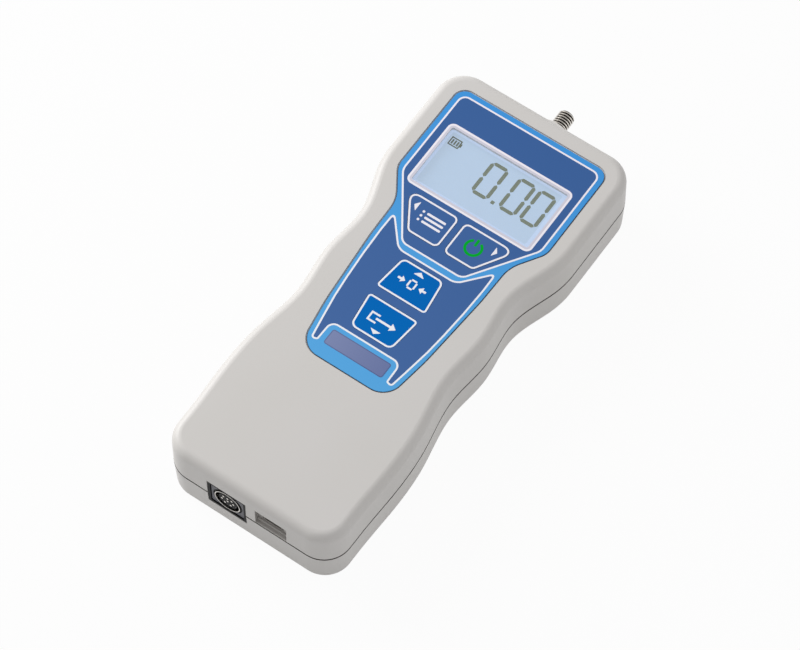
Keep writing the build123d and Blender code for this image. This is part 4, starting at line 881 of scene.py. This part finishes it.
ICON_X, ICON_Y = -21.45, 57.73
frame_piece = lcd_shape("battery_frame", bar(ICON_X, ICON_X + 4.1, ICON_Y, ICON_Y + 3.4, 0.2))
cut_out(frame_piece, bar(ICON_X + 0.45, ICON_X + 3.65, ICON_Y + 0.45, ICON_Y + 2.95, 0))
first = lcd_shape("charge_bar", bar(ICON_X + 0.78, ICON_X + 1.38, ICON_Y + 0.75, ICON_Y + 2.65, 0))
more = [moved_copy(first, x, 0) for x in (1.0, 2.0)]
nib = lcd_shape("battery_nib", bar(ICON_X + 4.1, ICON_X + 4.6, ICON_Y + 1.0, ICON_Y + 2.4, 0))
battery_sign = merged("battery_sign", [frame_piece, nib, first] + more)
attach(battery_sign, "casing")
report(battery_sign)

# %% [markdown]
# ## The seam between the covers
# Where the two halves meet, a small bevel on each leaves a fine groove that shows as a dark line. The
# line follows the waist all round, so it is taken from the CAD cover itself: a copy is merged and cut
# to a thin band at the joint. The band breaks at the two openings, and of what is left, only the two
# arcs that reach furthest out are kept, moved out by a hair and given a little thickness. The band is
# the same ABS coloured dark: a painted shadow of the groove.

# %% Seam
SEAM_Z = 13.2
SEAM_HEIGHT = 0.75
only(frame["nodes"]["rear_cover"])
bpy.ops.object.duplicate()
seam = bpy.context.object
seam.name = seam.data.name = "cover_seam"
edit(seam, "VERT")
bpy.ops.mesh.remove_doubles(threshold=1e-6)
for z, outwards in ((SEAM_Z - SEAM_HEIGHT, -1), (SEAM_Z, 1)):
    bpy.ops.mesh.select_all(action="SELECT")
    bpy.ops.mesh.bisect(plane_co=mm(0, 0, z), plane_no=(0, 0, outwards), clear_outer=True, threshold=1e-7)
leave_edit()


def in_opening(face):
    """True for the sides of the socket's opening in the foot and of the shaft's in the head."""
    x, y = face.center.x / MM, face.center.y / MM
    near = (abs(x + 7.4) < 8.5 and y < -70) or (abs(x) < 8 and y > 70)
    return abs(face.normal.z) > 0.7 or (near and abs(face.normal.y) < 0.9)


edit(seam, "FACE", in_opening)
bpy.ops.mesh.delete(type="FACE")
leave_edit()
reach = max(face.center.x for face in seam.data.polygons)
edit(seam, "FACE", lambda face: abs(face.center.x) > reach - 0.01 * MM)
bpy.ops.mesh.select_linked()
bpy.ops.mesh.select_all(action="INVERT")
bpy.ops.mesh.delete(type="FACE")
bpy.ops.mesh.select_all(action="SELECT")
bpy.ops.transform.shrink_fatten(value=0.015 * MM)
leave_edit()
apply_modifier(seam, "SOLIDIFY", thickness=0.06 * MM, offset=-1)
# The band gets the dark ABS: painted shadow of the groove.
seam.data.materials.clear()
seam.data.materials.append(seam_shadow)
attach(seam, "casing")
report(seam)

# %% [markdown]
# ## The measuring shaft
# The shaft is turned from steel, and its tip has an M6 thread for hooks and plates. The turned part
# is half its section spun round the axis. The thread is the one thing a plain cylinder can't give: a
# tooth's profile is screwed along the axis by 1 mm a turn, and its ends are cut square. The thread
# starts inside the collar and is joined to the rest.

# %% Turned part of the shaft
AXIS_Z = 8.7
COLLAR_END = 90.6
TIP = 98.1
# Radius and y of half the section, from the root to the collar's front.
PROFILE = [
    (0, 59.0), (2.6, 59.0), (3.0, 59.4), (3.0, 69.6), (4.0, 69.6), (4.0, 80.8), (5.8, 80.8), (6.0, 81.0),
    (6.0, 90.0), (5.9, 90.25), (5.7, 90.48), (5.45, 90.6), (3.3, 90.6), (3.05, 90.5), (2.9, 90.1), (0, 90.1),
]


def profile_line(name, points):
    """An open line of points at (radius, y), in millimetres, beside the shaft's axis."""
    bpy.ops.object.select_all(action="DESELECT")
    bpy.ops.mesh.primitive_circle_add(vertices=len(points), fill_type="NOTHING")
    line = bpy.context.object
    line.name = line.data.name = name
    for point, (radius, y) in zip(line.data.vertices, points):
        point.co = mm(radius, y, AXIS_Z)
    ends = {0, len(points) - 1}
    edit(line, "EDGE", lambda e: set(e.vertices) == ends)
    bpy.ops.mesh.delete(type="EDGE")
    leave_edit()
    return line


turned = profile_line("measuring_shaft_turned", PROFILE)
edit(turned, "EDGE")
bpy.ops.mesh.spin(steps=96, angle=math.tau, center=mm(0, 0, AXIS_Z), axis=(0, 1, 0))
leave_edit()
edit(turned, "VERT")
bpy.ops.mesh.remove_doubles(threshold=1e-6)
bpy.ops.mesh.normals_make_consistent(inside=False)
leave_edit()
report(turned)

# %% Thread of the shaft
PITCH = 1.0
MAJOR, MIDDLE, MINOR = 3.0, 2.72, 2.39
# Radius and share of a turn: root, flank, crest, flank and root.
TOOTH = [
    (MINOR, 0), (MINOR, 0.125), (MIDDLE, 0.293), (MAJOR, 0.4375),
    (MAJOR, 0.5625), (MIDDLE, 0.707), (MINOR, 0.875), (MINOR, 1.0),
]
start = COLLAR_END - 1.5
thread = profile_line("thread", [(radius, start + y * PITCH) for radius, y in TOOTH])
edit(thread, "VERT")
bpy.ops.transform.translate(value=mm(0, 0, -AXIS_Z))
leave_edit()
apply_modifier(
    thread, "SCREW", axis="Y", angle=math.tau, steps=64, render_steps=64,
    screw_offset=PITCH * MM, iterations=11,
)
edit(thread, "VERT")
bpy.ops.transform.translate(value=mm(0, 0, AXIS_Z))
bpy.ops.mesh.remove_doubles(threshold=1e-6)
for y, outwards in ((COLLAR_END - 0.4, -1), (TIP, 1)):
    bpy.ops.mesh.select_all(action="SELECT")
    bpy.ops.mesh.bisect(
        plane_co=mm(0, y, 0), plane_no=(0, outwards, 0), use_fill=True, clear_outer=True, threshold=1e-7,
    )
bpy.ops.mesh.select_all(action="SELECT")
bpy.ops.mesh.normals_make_consistent(inside=False)
leave_edit()
report(thread)

# %% Chamfer of the tip
bpy.ops.object.select_all(action="DESELECT")
length = TIP - COLLAR_END + 0.4
bpy.ops.mesh.primitive_cylinder_add(
    vertices=96, radius=(MAJOR + 0.01) * MM, depth=length * MM,
    location=mm(0, TIP - length / 2, AXIS_Z), rotation=(math.pi / 2, 0, 0),
)
blank = bpy.context.object
bpy.ops.object.transform_apply(location=True, rotation=True)
edit(blank, "FACE", lambda f: f.normal.y > 0.9)
bpy.ops.mesh.bevel(offset=0.75 * MM, segments=1)
leave_edit()
cut(thread, blank, "INTERSECT")
for piece, metals in ((turned, [turned_steel]), (thread, [thread_crest, thread_root_painted_shade])):
    piece.data.materials.clear()
    for metal in metals:
        piece.data.materials.append(metal)
# The root and the lower flanks get the dark steel: painted shade in the thread's grooves.
for face in thread.data.polygons:
    radius = math.hypot(face.center.x, face.center.z - AXIS_Z * MM)
    face.material_index = int(radius < (MIDDLE - 0.05) * MM and abs(face.normal.y) < 0.9)
shaft = joined("measuring_shaft_threaded", [turned, thread])
only(shaft)
bpy.ops.object.shade_smooth_by_angle(angle=math.radians(32))
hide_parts("measuring_shaft")
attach(shaft, "shaft")
report(shaft)

# %% [markdown]
# ## The round socket
# The socket is a black housing, whose frame fills the opening, with a grey face sunk in it. Round
# the metal ring lies a dark gap. In the ring stands a black core with a metal contact in each of its
# eight holes. The CAD model's core lies deeper, so a plug can be tried there; this one reaches as
# far forward as the real one. All are plates drawn lying down and then turned to face out of the foot.

# %% Frame and face of the socket
SOCKET_X, SOCKET_Z = -7.4, 13.9
# Distances from the origin towards the foot.
FACE_BACK, FACE_FRONT = 83.4, 83.78
FRAME_BACK, FRAME_FRONT = 83.82, 84.15


def stand_up(piece):
    """Turns a lying piece so that its top faces out of the foot: x stays, y becomes the height."""
    only(piece)
    piece.rotation_euler.x = math.pi / 2
    bpy.ops.object.transform_apply(rotation=True)
    return piece


def centred(half_width, half_height, radius):
    """The corners of a rectangle round the socket's middle."""
    left, right = SOCKET_X - half_width, SOCKET_X + half_width
    return bar(left, right, SOCKET_Z - half_height, SOCKET_Z + half_height, radius)


def disc(x, y, radius):
    """The corners of a circle, as a square with full corner radii."""
    return bar(x - radius, x + radius, y - radius, y + radius, radius * 0.999)


def softened(piece, width):
    """A small round along the sharp edges of a piece."""
    limit = math.radians(50)
    apply_modifier(piece, "BEVEL", width=width * MM, segments=2, limit_method="ANGLE", angle_limit=limit)
    return piece


edge = centred(7.42, 6.62, 0.3)
socket_frame = plate("data_socket_frame", edge, FRAME_BACK, FRAME_FRONT, black_nylon)
cut_out(socket_frame, centred(6.4, 5.6, 0.5))
edge = centred(6.3, 5.5, 0.6)
socket_face = plate("data_socket_face", edge, FACE_BACK, FACE_FRONT, socket_grey)
cut_out(socket_face, disc(SOCKET_X, SOCKET_Z, 5.6))
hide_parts("data_socket_plate")
for piece in (socket_frame, socket_face):
    stand_up(softened(piece, 0.1))
    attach(piece, "casing")
    report(piece)

# %% Core and contacts of the socket
CORE_BACK, CORE_FRONT, CONTACT_FRONT = 75.8, 83.7, 83.85
NARROW, WIDE, ROW = 1.6, 2.2, 1.7
PLACES = [(-NARROW, ROW), (0, ROW), (NARROW, ROW), (-WIDE, 0), (0, 0), (WIDE, 0)]
PLACES += [(-WIDE / 2, -ROW), (WIDE / 2, -ROW)]
flange = plate("flange", disc(SOCKET_X, SOCKET_Z, 4.5), CORE_BACK, CORE_BACK + 1.0, black_nylon)
stem = plate("stem", disc(SOCKET_X, SOCKET_Z, 3.55), CORE_BACK + 0.7, CORE_FRONT, black_nylon)
core = merged("data_socket_core", [stem, flange])
for x, y in PLACES:
    cut_out(core, disc(SOCKET_X + x, SOCKET_Z + y, 0.6))
tip = disc(SOCKET_X, SOCKET_Z, 0.4)
contact = plate("contact", tip, CORE_BACK + 0.1, CONTACT_FRONT, nickel)
softened(contact, 0.12)
contacts = joined("data_socket_contacts", [moved_copy(contact, x, y) for x, y in PLACES])
bpy.data.objects.remove(contact)
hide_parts("data_socket_insert")
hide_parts("data_socket_pins")
for piece, slot in ((core, "black_plastic"), (contacts, "plated")):
    stand_up(piece)
    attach(piece, "casing")
    report(piece)

# %% [markdown]
# ## The small socket
# Only the mouth of the small socket shows, as a black slot in a bright rim. The shade inside its metal
# shell is painted: a thin black plate of the mouth's shape stands just inside the shell.

# %% Painted shadow in the small socket's mouth
USB_X, USB_Z = 9.4, 17.25
USB_BACK, USB_FRONT = 81.4, 82.5
USB_INSIDE = [
    (USB_X + 3.48, USB_Z - 0.65, 0), (USB_X + 3.48, USB_Z + 1.58, 0), (USB_X - 3.48, USB_Z + 1.58, 0),
    (USB_X - 3.48, USB_Z - 0.65, 0), (USB_X - 2.78, USB_Z - 1.58, 0), (USB_X + 2.78, USB_Z - 1.58, 0),
]
# A black plate in the mouth: painted shadow inside the shell.
usb_mouth_shadow = plate("usb_socket_painted_shadow", USB_INSIDE, USB_BACK, USB_FRONT, black_nylon)
stand_up(softened(usb_mouth_shadow, 0.08))
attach(usb_mouth_shadow, "casing")
report(usb_mouth_shadow)

# %% [markdown]
# ## Print on the rear label
# The label on the back carries a thin frame and three rules for notes, and no words. They are plates
# of ink a hundredth of a millimetre proud of it.

# %% Print on the rear label
LABEL_Y = -48.0
LABEL_LOW = -0.012


def label_shape(shape):
    """A piece of ink on the rear label."""
    return plate("label_print", shape, LABEL_LOW, LABEL_LOW + 0.022, label_ink)


label_frame = label_shape(bar(-18.4, 18.4, LABEL_Y - 10.4, LABEL_Y + 10.4, 1.2))
cut_out(label_frame, bar(-18.0, 18.0, LABEL_Y - 10.0, LABEL_Y + 10.0, 0.9))
rules = [label_shape(bar(-15.5, 15.5, LABEL_Y + y - 0.15, LABEL_Y + y + 0.15, 0)) for y in (-5.2, 0, 5.2)]
label_print = merged("label_print", [label_frame] + rules)
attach(label_print, "casing")
report(label_print)

# %% [markdown]
# ## Floor, backdrop and light
# Such a product is photographed on white paper, lit by one large soft lamp from the left and by the
# white studio all round. The floor shows white to the camera and still keeps the shadow: part of
# what the camera sees of it is an even white, and the rest is the lit paper.

# %% Floor
bpy.ops.object.select_all(action="DESELECT")
bpy.ops.mesh.primitive_grid_add(x_subdivisions=8, y_subdivisions=8, size=8, location=(0, 0, -0.0002))
floor = bpy.context.object
floor.name = "studio_floor"
bpy.ops.object.transform_apply(location=True)
paper, shader = surface("studio_paper_white", "#D2D2D2", 0.9)
WHITE_SHARE = 0.95
rays = add(paper, "LightPath").outputs
larger = {"operation": "MAXIMUM"}
seen = add(paper, "Math", larger, {0: rays["Is Camera Ray"], 1: rays["Is Glossy Ray"]})
seen = add(paper, "Math", larger, {0: seen, 1: rays["Is Transmission Ray"]})
share = add(paper, "Math", {"operation": "MULTIPLY", 1: WHITE_SHARE}, {0: seen})
white = add(paper, "Emission", {"Color": (1, 1, 1, 1), "Strength": 1.0})
mix = add(paper, "MixShader", {}, {0: share, 1: shader, 2: white})
output = paper.node_tree.nodes["Material Output"]
paper.node_tree.links.new(mix.outputs[0], output.inputs["Surface"])
floor.data.materials.append(paper)
print("floor at", floor.data.vertices[0].co.z, "m")

# %% World and lamps
world = bpy.data.worlds.new("studio_world")
bpy.context.scene.world = world
world.use_nodes = True
# The studio's white walls: what they light the gauge with, and how bright its shiny parts show them.
STUDIO, SEEN_STUDIO = 0.54, 0.75
rays = add(world, "LightPath").outputs
glow = add(world, "MapRange", {"To Min": STUDIO, "To Max": SEEN_STUDIO}, {"Value": rays["Is Glossy Ray"]})
background = world.node_tree.nodes["Background"]
background.inputs["Color"].default_value = (1, 1, 1, 1)
world.node_tree.links.new(glow.outputs["Result"], background.inputs["Strength"])


def lamp(name, direction, distance, size, power):
    """A square soft lamp that shines on the gauge from a direction."""
    bpy.ops.object.light_add(type="AREA")
    light = bpy.context.object
    light.name = name
    light.data.size = size
    light.data.energy = power
    light.location = Vector(direction).normalized() * distance
    light.rotation_euler = Vector(direction).to_track_quat("Z", "Y").to_euler()
    return light


lamp("key_lamp", (-0.84, 0.08, 0.45), 1.0, 0.6, 9.4)
lamp("fill_lamp", (0.9, 0.3, 0.3), 1.2, 0.8, 1.6)
bpy.context.scene.view_settings.view_transform = "Standard"

# %% [markdown]
# ## The last cell
# It imports json once more.

# %% Import of json
import json
